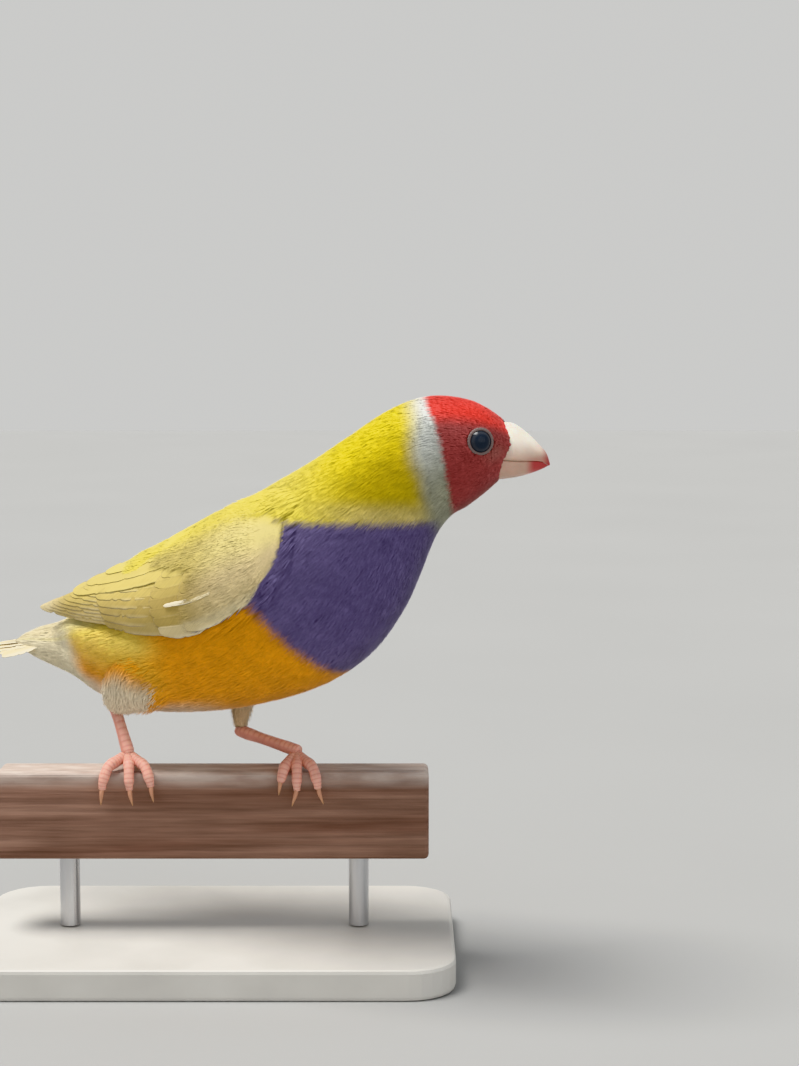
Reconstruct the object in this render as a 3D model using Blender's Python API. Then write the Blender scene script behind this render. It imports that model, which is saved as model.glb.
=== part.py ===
"""A yellow-backed, red-headed gouldian finch standing across a cut length of wooden perch on a stand.

World frame, in metres: +X along the perch, +Z up, the origin at the centre of the base's underside.
The sizes below are in millimetres. The bird is drawn straight first, with u forward along its body,
v to its left and h above the perch's top. place() then turns it on the perch and bends its neck,
so that the head looks along +X.
"""

from math import ceil, cos, pi, radians, sin, sqrt

import bpy
import numpy as np
from mathutils import Vector

MM = 0.001
GAP = 0.3

# The stand and the perch
BASE = (96.0, 60.0, 6.0)
BASE_CORNER = 9.0
ROD_DIAMETER = 4.0
ROD_SPREAD = 29.0
ROD_HEIGHT = 14.0
PERCH = (86.0, 10.0, 17.5)
PERCH_EDGE = 0.9
PERCH_TOP = BASE[2] + GAP + ROD_HEIGHT + GAP + PERCH[2]

# How the bird stands: its body is turned to the viewer's side, and its neck bends back by the same angle
BODY_TURN = radians(27)
NECK_BEND_START, NECK_BEND_END = 30.0, 52.0

# The body from the bill back to the tail coverts, in slanted sections:
# the back line's u and h, the belly line's u and h, and the half width
BODY = (
    (61.0, 70.0, 60.2, 58.7, 4.9),
    (57.8, 72.2, 57.0, 56.1, 7.0),
    (54.3, 73.8, 53.8, 53.7, 8.4),
    (48.9, 74.6, 51.7, 52.6, 9.3),
    (44.1, 73.9, 50.2, 51.2, 9.9),
    (38.4, 71.4, 48.6, 49.0, 11.0),
    (31.2, 66.6, 47.0, 45.6, 12.6),
    (23.6, 61.9, 45.0, 40.4, 14.0),
    (15.8, 57.8, 41.5, 33.2, 15.0),
    (7.8, 53.4, 35.0, 25.0, 15.3),
    (-0.3, 49.0, 24.8, 18.4, 15.0),
    (-8.4, 44.8, 11.6, 13.9, 14.2),
    (-16.0, 40.4, -1.6, 11.3, 12.6),
    (-22.5, 36.0, -14.0, 10.6, 10.6),
    (-28.5, 31.6, -24.8, 12.6, 7.8),
    (-34.0, 28.2, -32.4, 16.0, 4.9),
)
BODY_SIDES = 30
HEAD_END, NECK_END = 3.45, 6.7
RINGS_PER_SECTION = 2.6

# The eye sits in a socket, with a lid round it
EYE_PLACE = (56.4, 5.6, 66.1)
EYE_LOOKS = (0.34, 1.0, 0.06)
EYE_RADIUS = 2.75
LID_RADIUS, LID_THICKNESS, LID_HEIGHT = 2.6, 0.45, 1.75

# The bill: the culmen, the line where its halves meet, the underside, and the half widths along them
CULMEN = ((61.3, 69.7), (63.0, 69.0), (65.3, 67.4), (67.4, 65.2), (68.8, 63.3), (69.5, 61.6))
MOUTH = ((60.8, 62.7), (62.4, 62.5), (64.3, 62.4), (66.2, 62.4), (67.9, 62.2), (69.3, 61.4))
UNDERSIDE = ((60.6, 59.0), (62.0, 59.1), (63.7, 59.4), (65.5, 59.9), (67.0, 60.4), (68.2, 60.9))
BILL_HALF_WIDTH = (4.3, 4.05, 3.5, 2.6, 1.5, 0.45)
NOSTRIL_PLACE = (62.4, 3.2, 67.2)
NOSTRIL_RADIUS = 0.55

# The folded wing as a curved sheet: at each u, a low edge, a point that it bulges towards and a top edge,
# each given by its distance from the middle of the bird and its height
WING = (
    (25.0, (15.3, 44.0), (15.6, 48.3), (13.2, 52.8)),
    (20.0, (15.8, 37.5), (16.9, 47.0), (10.9, 54.6)),
    (13.0, (15.9, 33.0), (17.9, 45.0), (7.6, 54.0)),
    (5.0, (15.4, 30.0), (17.8, 41.6), (4.6, 51.3)),
    (-5.0, (14.3, 28.7), (16.9, 38.4), (2.4, 46.8)),
    (-15.0, (12.5, 28.9), (14.4, 36.4), (1.4, 42.1)),
    (-25.0, (9.4, 29.3), (10.5, 34.6), (1.2, 38.6)),
    (-35.0, (5.6, 29.8), (6.0, 33.0), (1.2, 35.2)),
    (-40.0, (3.5, 29.9), (3.7, 31.4), (1.3, 32.4)),
)
WING_CORE_INSIDE, WING_CORE_OUTSIDE = -3.2, 0.3
WING_CORE_REACH = (23.0, -23.5)
SHOULDER_REACH = (24.5, 9.0)
SHOULDER_HEIGHT = 1.5
VANE_THICKNESS = 0.62
VANE_STEPS = (0.0, 0.4, 0.75, 0.93, 1.0)
COVERT_STEPS = (0.0, 0.6, 0.9, 1.0)

# The tail: coverts that carry on the body, then twelve feathers in six pairs, the middle pair the longest
TAIL_COVERTS = (
    (-34.3, 28.1, -32.7, 16.1, 4.8),
    (-38.0, 27.0, -37.2, 17.6, 4.4),
    (-42.5, 25.8, -42.1, 19.2, 3.8),
    (-47.0, 24.3, -46.9, 21.2, 2.7),
)
TAIL_PAIRS = 6
TAIL_ROOT = (-36.0, 24.8)
TAIL_TIP_U = (-58.0, -53.0, -51.8, -50.6, -49.4, -48.2)
TAIL_TIP_H, TAIL_TIP_RISE = 20.8, 1.3
TAIL_FAN, TAIL_DROP, TAIL_ROLL = 0.98, 0.5, 8.0
TAIL_FEATHER_WIDTH = 3.4

# The legs, in the world's X and Y with h above the perch: the thigh's middle line and its radii,
# the heel and the ankle
LEGS = {
    "left": {
        "thigh": ((6.6, 10.6, 19.0), (5.1, 9.2, 11.5), (4.8, 8.5, 6.6)),
        "thigh_radii": (3.0, 4.8, 2.9, 1.9, 1.5),
        "heel": (4.9, 8.2, 5.8),
        "ankle": (16.6, -0.9, 3.7),
    },
    "right": {
        "thigh": ((-11.0, -1.5, 21.0), (-16.8, 0.6, 16.0), (-20.2, 2.6, 12.2)),
        "thigh_radii": (2.6, 6.4, 6.2, 4.2, 2.3),
        "heel": (-20.3, 3.0, 12.9),
        "ankle": (-16.9, -1.4, 3.7),
    },
}
HEEL_RADIUS = 1.45
SHANK_RADII = (1.4, 1.2, 1.15, 1.25, 1.4)
TOE_RADIUS, TOE_END_RADIUS = 1.1, 0.8
CLAW_RADII = (0.58, 0.58, 0.38, 0.14)
# Each front toe: how far along the perch it leaves the ankle, how far down the perch's face its last
# joint comes, and how far along its claw's tip ends
FRONT_TOES = {
    "left": ((-2.6, -0.4, -3.2), (0.4, -2.6, -0.6), (4.3, -2.2, 5.6)),
    "right": ((-4.2, -2.4, -4.8), (0.9, -2.5, 1.5), (4.9, -1.8, 5.6)),
}
HIND_TOE_DRIFT = {"left": -1.2, "right": -0.8}

COLOURS = {
    "red": (0.62, 0.03, 0.025),
    "gold": (0.78, 0.55, 0.03),
    "violet": (0.10, 0.06, 0.23),
    "cream": (0.80, 0.74, 0.42),
    "ivory": (0.82, 0.72, 0.60),
    "rose": (0.72, 0.38, 0.33),
    "eye": (0.012, 0.013, 0.018),
    "pink": (0.72, 0.30, 0.26),
    "wood": (0.24, 0.12, 0.085),
    "base": (0.66, 0.64, 0.60),
    "steel": (0.62, 0.62, 0.63),
}


def smooth_row(rows, t):
    """The rows' values at t counted in rows, on a smooth curve through them."""
    table = np.asarray(rows, float)
    last = len(table) - 1
    t = min(max(t, 0.0), float(last))
    i = min(int(t), last - 1)
    f = t - i
    before, here, there, after = (table[min(max(i + k, 0), last)] for k in (-1, 0, 1, 2))
    return 0.5 * (
        2 * here
        + (there - before) * f
        + (2 * before - 5 * here + 4 * there - after) * f**2
        + (3 * here - before - 3 * there + after) * f**3
    )


def heading_line():
    """The plan of the bird's middle: u, X, Y and heading along it, by small steps."""
    u = np.arange(-90.0, 90.01, 0.25)
    share = np.clip((u - NECK_BEND_START) / (NECK_BEND_END - NECK_BEND_START), 0, 1)
    heading = -BODY_TURN * (1 - share)
    middle = (heading[1:] + heading[:-1]) / 2
    x = np.concatenate([[0], np.cumsum(np.cos(middle) * 0.25)])
    y = np.concatenate([[0], np.cumsum(np.sin(middle) * 0.25)])
    start = int(np.argmin(abs(u)))
    return u, x - x[start], y - y[start], heading


HEADING_LINE = heading_line()


def place(point):
    """A point of the straight bird (u, v, h) in the world, in metres."""
    u, v, h = point
    line_u, line_x, line_y, line_heading = HEADING_LINE
    x, y, heading = (np.interp(u, line_u, line) for line in (line_x, line_y, line_heading))
    return Vector(((x - v * sin(heading)) * MM, (y + v * cos(heading)) * MM, (h + PERCH_TOP) * MM))


def on_perch(point):
    """A point given by the world's X and Y and its height above the perch, in metres."""
    return Vector((point[0] * MM, point[1] * MM, (point[2] + PERCH_TOP) * MM))


def clear_scene():
    for obj in list(bpy.data.objects):
        bpy.data.objects.remove(obj, do_unlink=True)


def material(name, roughness=0.6, metallic=0.0):
    made = bpy.data.materials.get(name) or bpy.data.materials.new(name)
    made.use_nodes = True
    shader = made.node_tree.nodes["Principled BSDF"]
    shader.inputs["Base Color"].default_value = (*COLOURS[name], 1.0)
    shader.inputs["Roughness"].default_value = roughness
    shader.inputs["Metallic"].default_value = metallic
    return made


def mesh_object(name, points, faces, finish=None):
    mesh = bpy.data.meshes.new(name)
    mesh.from_pydata([tuple(p) for p in points], [], faces)
    mesh.validate()
    obj = bpy.data.objects.new(name, mesh)
    bpy.context.scene.collection.objects.link(obj)
    if finish is not None:
        mesh.materials.append(finish)
    return obj


def skin_rings(name, rings, finish=None):
    """A closed solid through rings of equal count, its ends closed by fans round their middles."""
    count = len(rings[0])
    points = [p for ring in rings for p in ring]
    faces = []
    for i in range(len(rings) - 1):
        for k in range(count):
            a, b = i * count + k, i * count + (k + 1) % count
            faces.append((a, b, b + count, a + count))
    for i, flip in ((0, True), (len(rings) - 1, False)):
        middle = len(points)
        points.append(sum(rings[i], Vector()) / count)
        for k in range(count):
            a, b = i * count + k, i * count + (k + 1) % count
            faces.append((b, a, middle) if flip else (a, b, middle))
    obj = mesh_object(name, points, faces, finish)
    turn_outwards(obj)
    return obj


def signed_volume(mesh):
    mesh.calc_loop_triangles()
    corner = [v.co for v in mesh.vertices]
    return sum(
        corner[t.vertices[0]].dot(corner[t.vertices[1]].cross(corner[t.vertices[2]]))
        for t in mesh.loop_triangles
    )


def turn_outwards(obj):
    if signed_volume(obj.data) < 0:
        obj.data.flip_normals()


def apply_modifier(obj, modifier):
    bpy.context.view_layer.update()
    with bpy.context.temp_override(object=obj, active_object=obj, selected_objects=[obj]):
        bpy.ops.object.modifier_apply(modifier=modifier.name)


def keep_largest(obj):
    """Drops all but the largest closed surface, so that the node is one body."""
    mesh = obj.data
    parent = list(range(len(mesh.vertices)))

    def root(i):
        while parent[i] != i:
            parent[i] = parent[parent[i]]
            i = parent[i]
        return i

    for edge in mesh.edges:
        a, b = (root(i) for i in edge.vertices)
        parent[a] = b
    volumes = {}
    mesh.calc_loop_triangles()
    for triangle in mesh.loop_triangles:
        a, b, c = (mesh.vertices[i].co for i in triangle.vertices)
        group = root(triangle.vertices[0])
        volumes[group] = volumes.get(group, 0.0) + a.dot(b.cross(c))
    largest = max(volumes, key=volumes.get)
    kept = [v.index for v in mesh.vertices if root(v.index) == largest]
    index = {old: new for new, old in enumerate(kept)}
    points = [mesh.vertices[i].co.copy() for i in kept]
    faces = [
        tuple(index[i] for i in polygon.vertices)
        for polygon in mesh.polygons
        if polygon.vertices[0] in index
    ]
    finishes = list(mesh.materials)
    clean = bpy.data.meshes.new(obj.name)
    clean.from_pydata(points, [], faces)
    for finish in finishes:
        clean.materials.append(finish)
    obj.data = clean
    return obj


def combine(body, others, operation):
    """Joins others to body, or cuts them from it, and removes them."""
    if not others:
        return body
    group = bpy.data.collections.new("pieces of " + body.name)
    bpy.context.scene.collection.children.link(group)
    for other in others:
        bpy.context.scene.collection.objects.unlink(other)
        group.objects.link(other)
    modifier = body.modifiers.new(operation.lower(), "BOOLEAN")
    modifier.operation = operation
    modifier.operand_type = "COLLECTION"
    modifier.collection = group
    apply_modifier(body, modifier)
    for other in others:
        bpy.data.objects.remove(other, do_unlink=True)
    bpy.data.collections.remove(group)
    return keep_largest(body)


def shade_round(obj, sharp_angle=40):
    obj.data.shade_smooth()
    obj.data.set_sharp_from_angle(angle=radians(sharp_angle))
    return obj


def ball(name, centre, radius, across=18, finish=None):
    """A sphere round a point in metres, its radius in millimetres."""
    rings = []
    rows = across // 2
    for i in range(1, rows):
        tilt = pi * i / rows
        rings.append(
            [
                centre
                + radius
                * MM
                * Vector((sin(tilt) * cos(turn), sin(tilt) * sin(turn), -cos(tilt)))
                for turn in (2 * pi * k / across for k in range(across))
            ]
        )
    points = [p for ring in rings for p in ring]
    faces = []
    for i in range(len(rings) - 1):
        for k in range(across):
            a, b = i * across + k, i * across + (k + 1) % across
            faces.append((a, b, b + across, a + across))
    low, high = len(points), len(points) + 1
    points += [centre - Vector((0, 0, radius * MM)), centre + Vector((0, 0, radius * MM))]
    top = (len(rings) - 1) * across
    for k in range(across):
        faces.append(((k + 1) % across, k, low))
        faces.append((top + k, top + (k + 1) % across, high))
    obj = mesh_object(name, points, faces, finish)
    turn_outwards(obj)
    return obj


def hoop(name, centre, axis, radius, thickness, around=24, sides=6):
    """A ring round an axis through centre, which is in metres."""
    axis = axis.normalized()
    side = axis.orthogonal().normalized()
    other = axis.cross(side)
    points = []
    for i in range(around):
        turn = 2 * pi * i / around
        out = side * cos(turn) + other * sin(turn)
        for k in range(sides):
            tilt = 2 * pi * k / sides
            points.append(
                centre
                + out * (radius + thickness * cos(tilt)) * MM
                + axis * thickness * sin(tilt) * MM
            )
    faces = [
        (
            i * sides + k,
            i * sides + (k + 1) % sides,
            (i + 1) % around * sides + (k + 1) % sides,
            (i + 1) % around * sides + k,
        )
        for i in range(around)
        for k in range(sides)
    ]
    obj = mesh_object(name, points, faces)
    turn_outwards(obj)
    return obj


def tube(name, route, radii, sides=8, rings=12, finish=None):
    """A round solid along a smooth curve through the route's points, which are in metres."""
    steps = np.linspace(0, len(route) - 1, rings)
    centres = [Vector(smooth_row(route, t)) for t in steps]
    table = [(radius,) for radius in radii]
    widths = [float(smooth_row(table, t)[0]) for t in np.linspace(0, len(radii) - 1, rings)]
    made = []
    side = None
    for i, centre in enumerate(centres):
        ahead = centres[min(i + 1, rings - 1)] - centres[max(i - 1, 0)]
        ahead.normalize()
        side = ahead.orthogonal() if side is None else side - ahead * side.dot(ahead)
        side.normalize()
        other = ahead.cross(side)
        made.append(
            [
                centre + (side * cos(turn) + other * sin(turn)) * widths[i] * MM
                for turn in (2 * pi * k / sides for k in range(sides))
            ]
        )
    return skin_rings(name, made, finish)


def vane(name, frame_at, half_width_at, thickness, steps=VANE_STEPS):
    """A feather: frame_at(t) gives its middle, the way across and the way out.

    Both faces are split alike, and the shaft stands a little proud of the edges."""
    upper, lower = [], []
    for t in steps:
        middle, across, out = frame_at(t)
        half = half_width_at(t)
        thick = thickness * (1.0 - 0.35 * t)
        for share, lift in ((-1.0, -0.1), (0.0, 0.06), (1.0, -0.1)):
            point = middle + across * (half * share) + out * lift
            upper.append(point)
            lower.append(point - out * (thick - 0.1 * abs(share)))
    count = len(steps)
    points = [place(p) for p in upper + lower]
    under = 3 * count
    faces = []
    for i in range(count - 1):
        for k in range(2):
            a = 3 * i + k
            b, c, d = a + 1, a + 4, a + 3
            faces += [(a, b, c), (a, c, d)]
            faces += [(under + a, under + c, under + b), (under + a, under + d, under + c)]
        left, right = 3 * i, 3 * i + 2
        faces += [(left, left + 3, under + left + 3), (left, under + left + 3, under + left)]
        faces += [(right, under + right, under + right + 3), (right, under + right + 3, right + 3)]
    for start, flip in ((0, False), (3 * (count - 1), True)):
        for k in range(2):
            a, b = start + k, start + k + 1
            corners = [(a, under + a, under + b), (a, under + b, b)]
            faces += [c[::-1] if flip else c for c in corners]
    obj = mesh_object(name, points, faces)
    turn_outwards(obj)
    return obj


def body_section(rows, t, grow=0.0):
    """The middle, the way up and the half width of a slanted section of the body."""
    back_u, back_h, belly_u, belly_h, half_width = smooth_row(rows, t)
    middle = Vector(((back_u + belly_u) / 2, 0, (back_h + belly_h) / 2))
    up = Vector(((back_u - belly_u) / 2, 0, (back_h - belly_h) / 2))
    up *= 1 + grow / up.length
    return middle, up, half_width + grow


def body_ring(rows, t, grow=0.0, shift=0.0):
    """One closed ring of the body, shifted along the body's line if asked."""
    middle, up, half_width = body_section(rows, t, grow)
    ahead = Vector((up.z, 0, -up.x)).normalized()
    side = Vector((0, 1, 0))
    ring = []
    for k in range(BODY_SIDES):
        turn = 2 * pi * k / BODY_SIDES
        flat = middle + side * half_width * cos(turn) + up * sin(turn) + ahead * shift
        ring.append(place(flat))
    return ring


def body_length(name, rows, start, end, finish=None, grow=0.0, shifts=(0.0, 0.0)):
    """The body between two sections, with its end faces moved along the body by shifts."""
    count = max(2, ceil((end - start) * RINGS_PER_SECTION))
    steps = np.linspace(start, end, count + 1)
    rings = [body_ring(rows, t, grow) for t in steps[1:-1]]
    rings.insert(0, body_ring(rows, start, grow, shifts[0]))
    rings.append(body_ring(rows, end, grow, shifts[1]))
    return skin_rings(name, rings, finish)


def eye_centre(side):
    u, v, h = EYE_PLACE
    return place((u, v * side, h))


def eye_axis(side):
    u, v, h = EYE_LOOKS
    return (place((60 + u, v * side, 60 + h)) - place((60, 0, 60))).normalized()


def make_head():
    head = body_length("head", BODY, 0.0, HEAD_END, material("red", 0.75), shifts=(0.0, GAP / 2))
    lids = []
    sockets = []
    for side in (1, -1):
        centre, axis = eye_centre(side), eye_axis(side)
        lids.append(hoop("lid", centre + axis * LID_HEIGHT * MM, axis, LID_RADIUS, LID_THICKNESS))
        sockets.append(ball("socket", centre, EYE_RADIUS + GAP, 20))
    combine(head, lids, "UNION")
    combine(head, sockets, "DIFFERENCE")
    return shade_round(head)


def make_eyes():
    for name, side in (("eye_left", 1), ("eye_right", -1)):
        shade_round(ball(name, eye_centre(side), EYE_RADIUS, 20, material("eye", 0.08)))


def bill_ring(top, edge, half_width, sides=12, flat_sides=4, bend=1.0):
    """A ring round half of the bill: a rounded side from edge to edge over top, and a flat side back."""
    ring = []
    for k in range(sides + 1):
        turn = pi * k / sides
        lift = sin(turn) ** bend
        u = edge[0] + (top[0] - edge[0]) * lift
        h = edge[1] + (top[1] - edge[1]) * lift
        ring.append(place((u, half_width * cos(turn), h)))
    for k in range(1, flat_sides):
        share = k / flat_sides
        ring.append(place((edge[0], half_width * (2 * share - 1), edge[1])))
    return ring


def make_bill():
    rings_up, rings_down = [], []
    for t in np.linspace(0, len(CULMEN) - 1, 12):
        top = smooth_row(CULMEN, t)
        mouth = smooth_row(MOUTH, t)
        under = smooth_row(UNDERSIDE, t)
        half_width = float(smooth_row([(w,) for w in BILL_HALF_WIDTH], t)[0])
        rings_up.append(bill_ring(top, (mouth[0], mouth[1] + GAP / 2), half_width))
        edge = (min(mouth[0], under[0] + 0.4), mouth[1] - GAP / 2)
        rings_down.append(bill_ring(under, edge, half_width * 0.93, bend=0.8))
    upper = skin_rings("bill_upper", rings_up, material("ivory", 0.35))
    nostrils = []
    for side in (1, -1):
        u, v, h = NOSTRIL_PLACE
        nostrils.append(ball("nostril", place((u, v * side, h)), NOSTRIL_RADIUS, 12))
    combine(upper, nostrils, "DIFFERENCE")
    shade_round(upper)
    shade_round(skin_rings("bill_lower", rings_down, material("rose", 0.35)))


def make_neck_and_torso():
    last = len(BODY) - 1
    gold, violet = material("gold", 0.8), material("violet", 0.8)
    shade_round(body_length("neck", BODY, HEAD_END, NECK_END, gold, shifts=(-GAP / 2, GAP / 2)))
    shade_round(body_length("torso", BODY, NECK_END, last, violet, shifts=(-GAP / 2, 0.0)))


def grown_body():
    """The body a gap larger all round, to cut what lies against it."""
    return body_length("grown body", BODY, 0.0, len(BODY) - 1, grow=GAP + 0.03)


def wing_point(side, u, across, out):
    """A point of the folded wing: u along the bird, across from low to top edge, out from the sheet."""
    rows = [(row[0], *row[1], *row[2], *row[3]) for row in WING]
    lengths = [row[0] for row in rows]
    t = float(np.interp(-u, [-length for length in lengths], range(len(rows))))
    _, low_v, low_h, pull_v, pull_h, top_v, top_h = smooth_row(rows, t)
    q = min(max(across, -0.05), 1.0)
    v = (1 - q) ** 2 * low_v + 2 * q * (1 - q) * pull_v + q**2 * top_v
    h = (1 - q) ** 2 * low_h + 2 * q * (1 - q) * pull_h + q**2 * top_h
    along_v = 2 * (1 - q) * (pull_v - low_v) + 2 * q * (top_v - pull_v)
    along_h = 2 * (1 - q) * (pull_h - low_h) + 2 * q * (top_h - pull_h)
    size = sqrt(along_v**2 + along_h**2)
    v += along_h / size * out
    h -= along_v / size * out
    return Vector((u, max(v, 0.55) * side, h))


def wing_vane(side, root, tip, width, pointed=0.5, steps=VANE_STEPS):
    """A feather on the folded wing, from root to tip as (u, across, out); pointed narrows its tip."""

    def at(t, across_step=0.0):
        u, across, out = (a + (b - a) * t for a, b in zip(root, tip))
        return wing_point(side, u, across + across_step, out)

    def frame_at(t):
        middle = at(t)
        across = (at(t, 0.04) - at(t, -0.04)).normalized()
        ahead = (at(min(t + 0.05, 1.0)) - at(max(t - 0.05, 0.0))).normalized()
        out = across.cross(ahead).normalized()
        if out.y * side < 0:
            out = -out
        return middle, across, out

    def half_width_at(t):
        taper = 1.0 if t < 0.6 else 1.0 - (1.0 - pointed) * ((t - 0.6) / 0.4) ** 2
        end = 1.0 if t < 0.92 else 1.0 - 0.55 * (t - 0.92) / 0.08
        return width / 2 * taper * end

    return vane("vane", frame_at, half_width_at, VANE_THICKNESS, steps)


def wing_sheet(name, side, reach, across, out_at, inside, steps, sides, finish=None):
    """A closed piece of the wing's sheet, from inside out to out_at(t, q)."""
    rings = []
    for t in np.linspace(0, 1, steps):
        u = reach[0] + (reach[1] - reach[0]) * t
        outer = [wing_point(side, u, q, out_at(t, q)) for q in np.linspace(*across, sides)]
        inner = [wing_point(side, u, q, inside) for q in np.linspace(*across, sides)]
        rings.append([place(p) for p in outer + inner[::-1]])
    return skin_rings(name, rings, finish)


def wing_feathers(side):
    """The tiers of the folded wing, as root and tip on its sheet, with widths."""
    made = []
    for i in range(8):
        share = i / 7
        root = (-8.0 + 3 * share, 0.12 + 0.3 * share, 0.1)
        tip = (-39.2 + 13.0 * share**1.15, 0.2 + 0.42 * share, 0.45 + 0.28 * i)
        made.append(wing_vane(side, root, tip, 3.4, pointed=0.45))
    for i in range(5):
        share = i / 4
        root = (2.0, 0.1 + 0.42 * share, 0.1)
        tip = (-18.5 - 3.5 * share, 0.12 + 0.44 * share, 0.75 + 0.26 * i)
        made.append(wing_vane(side, root, tip, 4.6, pointed=0.75))
    for i, (tip_u, across) in enumerate(((-26.0, 0.66), (-21.0, 0.78), (-15.0, 0.9))):
        root = (6.0, across + 0.02, 0.3)
        made.append(wing_vane(side, root, (tip_u, across, 1.9 + 0.36 * i), 6.0, pointed=0.7))
    for i in range(8):
        share = i / 7
        root = (9.0, 0.08 + 0.8 * share, 0.5)
        tip = (-1.5 - 4.0 * sin(pi * share), 0.08 + 0.8 * share, 1.2 + 0.12 * (i % 2) + 0.3 * share)
        made.append(wing_vane(side, root, tip, 4.4, 0.8, COVERT_STEPS))
    for i in range(7):
        share = i / 6
        root = (15.0, 0.13 + 0.74 * share, 0.6)
        tip = (5.4 - 2.0 * sin(pi * share), 0.13 + 0.74 * share, 1.5 + 0.14 * (i % 2))
        made.append(wing_vane(side, root, tip, 4.6, 0.85, COVERT_STEPS))
    return made


def shoulder_out(t, q):
    """How far the smooth shoulder stands out from the wing's sheet: thin in front and at its edges."""
    rise = sin(pi / 2 * min(1.0, t / 0.6))
    edge = min(1.0, 5.0 * min(q, 1.02 - q) + 0.15)
    return 0.05 + (SHOULDER_HEIGHT - 0.05) * rise * edge


def make_wing(name, side):
    wing = wing_sheet(
        name,
        side,
        WING_CORE_REACH,
        (0.05, 0.94),
        lambda t, q: WING_CORE_OUTSIDE,
        WING_CORE_INSIDE,
        9,
        9,
        material("cream", 0.75),
    )
    shoulder = wing_sheet(
        "shoulder", side, SHOULDER_REACH, (0.0, 0.97), shoulder_out, WING_CORE_INSIDE, 8, 10
    )
    combine(wing, [shoulder, *wing_feathers(side)], "UNION")
    combine(wing, [grown_body()], "DIFFERENCE")
    return shade_round(wing, 30)


def tail_feather(pair, side):
    """One tail feather: the pairs fan out, sink and roll like a roof, the middle pair on top."""
    root = Vector((TAIL_ROOT[0], 0.35 * side * (pair + 0.8), TAIL_ROOT[1] - 0.18 * pair))
    tip_h = TAIL_TIP_H + TAIL_TIP_RISE * min(pair, 1) - TAIL_DROP * pair
    tip = Vector((TAIL_TIP_U[pair], side * (0.45 + TAIL_FAN * pair), tip_h))
    roll = radians(TAIL_ROLL * pair + 3)
    across = Vector((0, cos(roll), -sin(roll) * side))
    out = Vector((0, sin(roll) * side, cos(roll)))
    narrow = 0.16 if pair == 0 else 0.6

    def frame_at(t):
        return root.lerp(tip, t), across, out

    def half_width_at(t):
        width = TAIL_FEATHER_WIDTH / 2 * (0.7 + 0.3 * min(1.0, t / 0.3))
        taper = 1.0 if t < 0.5 else 1.0 - (1.0 - narrow) * ((t - 0.5) / 0.5) ** 1.4
        return width * taper

    return vane("tail vane", frame_at, half_width_at, VANE_THICKNESS)


def make_tail():
    tail = body_length("tail", TAIL_COVERTS, 0.0, len(TAIL_COVERTS) - 1, material("cream", 0.75))
    feathers = [tail_feather(pair, side) for pair in range(TAIL_PAIRS) for side in (1, -1)]
    combine(tail, feathers, "UNION")
    return shade_round(tail, 30)


def shank(name, leg, grow=0.0, finish=None):
    """The bare shank from heel to ankle with its two knobs, a little larger all round if asked."""
    heel, ankle = on_perch(leg["heel"]), on_perch(leg["ankle"])
    route = [heel, heel.lerp(ankle, 0.15), heel.lerp(ankle, 0.5), heel.lerp(ankle, 0.85), ankle]
    radii = [radius + grow for radius in SHANK_RADII]
    bone = tube(name, route, radii, 10, 8, finish)
    knobs = [ball("heel", heel, HEEL_RADIUS + grow, 14), ball("ankle", ankle, HEEL_RADIUS + grow, 14)]
    return combine(bone, knobs, "UNION")


def make_thigh(name, leg):
    """The feathered thigh, cut to the body above it and to the bare shank below it."""
    route = [on_perch(point) for point in leg["thigh"]]
    thigh = tube(name, route, leg["thigh_radii"], 16, 9, material("cream", 0.8))
    combine(thigh, [grown_body()], "DIFFERENCE")
    combine(thigh, [shank("grown shank", leg, GAP)], "DIFFERENCE")
    return shade_round(thigh)


def front_toe(ankle, spread, reach, claw_drift):
    """A front toe and its claw: over the perch's top, round its front edge and down its face."""
    x, face = ankle.x / MM, -PERCH[1] / 2 - GAP - TOE_RADIUS
    route = [
        (x + 0.1 * spread, -1.4, 2.6),
        (x + 0.45 * spread, -3.3, 2.0),
        (x + 0.8 * spread, -5.3, 1.1),
        (x + spread, face - 0.1, -0.6 + 0.3 * reach),
        (x + 1.05 * spread, face, reach - 0.6),
    ]
    joints = (TOE_RADIUS * 1.1, TOE_RADIUS, TOE_RADIUS * 0.95, TOE_RADIUS * 0.9, TOE_END_RADIUS)
    toe = tube("toe", [on_perch(p) for p in route], joints, 8, 9)
    end_x, end_y, end_h = route[-1]
    tip_x = x + claw_drift
    hook = [
        (end_x, end_y - 0.1, end_h + 0.5),
        (end_x * 0.7 + tip_x * 0.3, end_y - 0.35, end_h - 0.9),
        (end_x * 0.3 + tip_x * 0.7, end_y - 0.1, end_h - 2.2),
        (tip_x, end_y + 0.5, end_h - 3.3),
    ]
    return [toe, tube("claw", [on_perch(p) for p in hook], CLAW_RADII, 6, 7)]


def hind_toe(ankle, drift):
    """The hind toe and its longer claw: back over the perch's top and down behind it."""
    x, back = ankle.x / MM, PERCH[1] / 2 + GAP + TOE_RADIUS
    route = [
        (x, -1.2, 2.6),
        (x + 0.3 * drift, 1.2, 1.5),
        (x + 0.7 * drift, 3.8, 1.4),
        (x + drift, back - 0.4, 0.9),
    ]
    joints = (TOE_RADIUS * 1.1, TOE_RADIUS, TOE_RADIUS * 0.9, TOE_END_RADIUS)
    toe = tube("toe", [on_perch(p) for p in route], joints, 8, 8)
    end_x, end_y, end_h = route[-1]
    hook = [
        (end_x, end_y - 0.5, end_h + 0.1),
        (end_x, end_y + 0.5, end_h - 0.7),
        (end_x, end_y + 0.7, end_h - 2.3),
        (end_x, end_y + 0.1, end_h - 4.0),
    ]
    return [toe, tube("claw", [on_perch(p) for p in hook], CLAW_RADII, 6, 7)]


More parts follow.
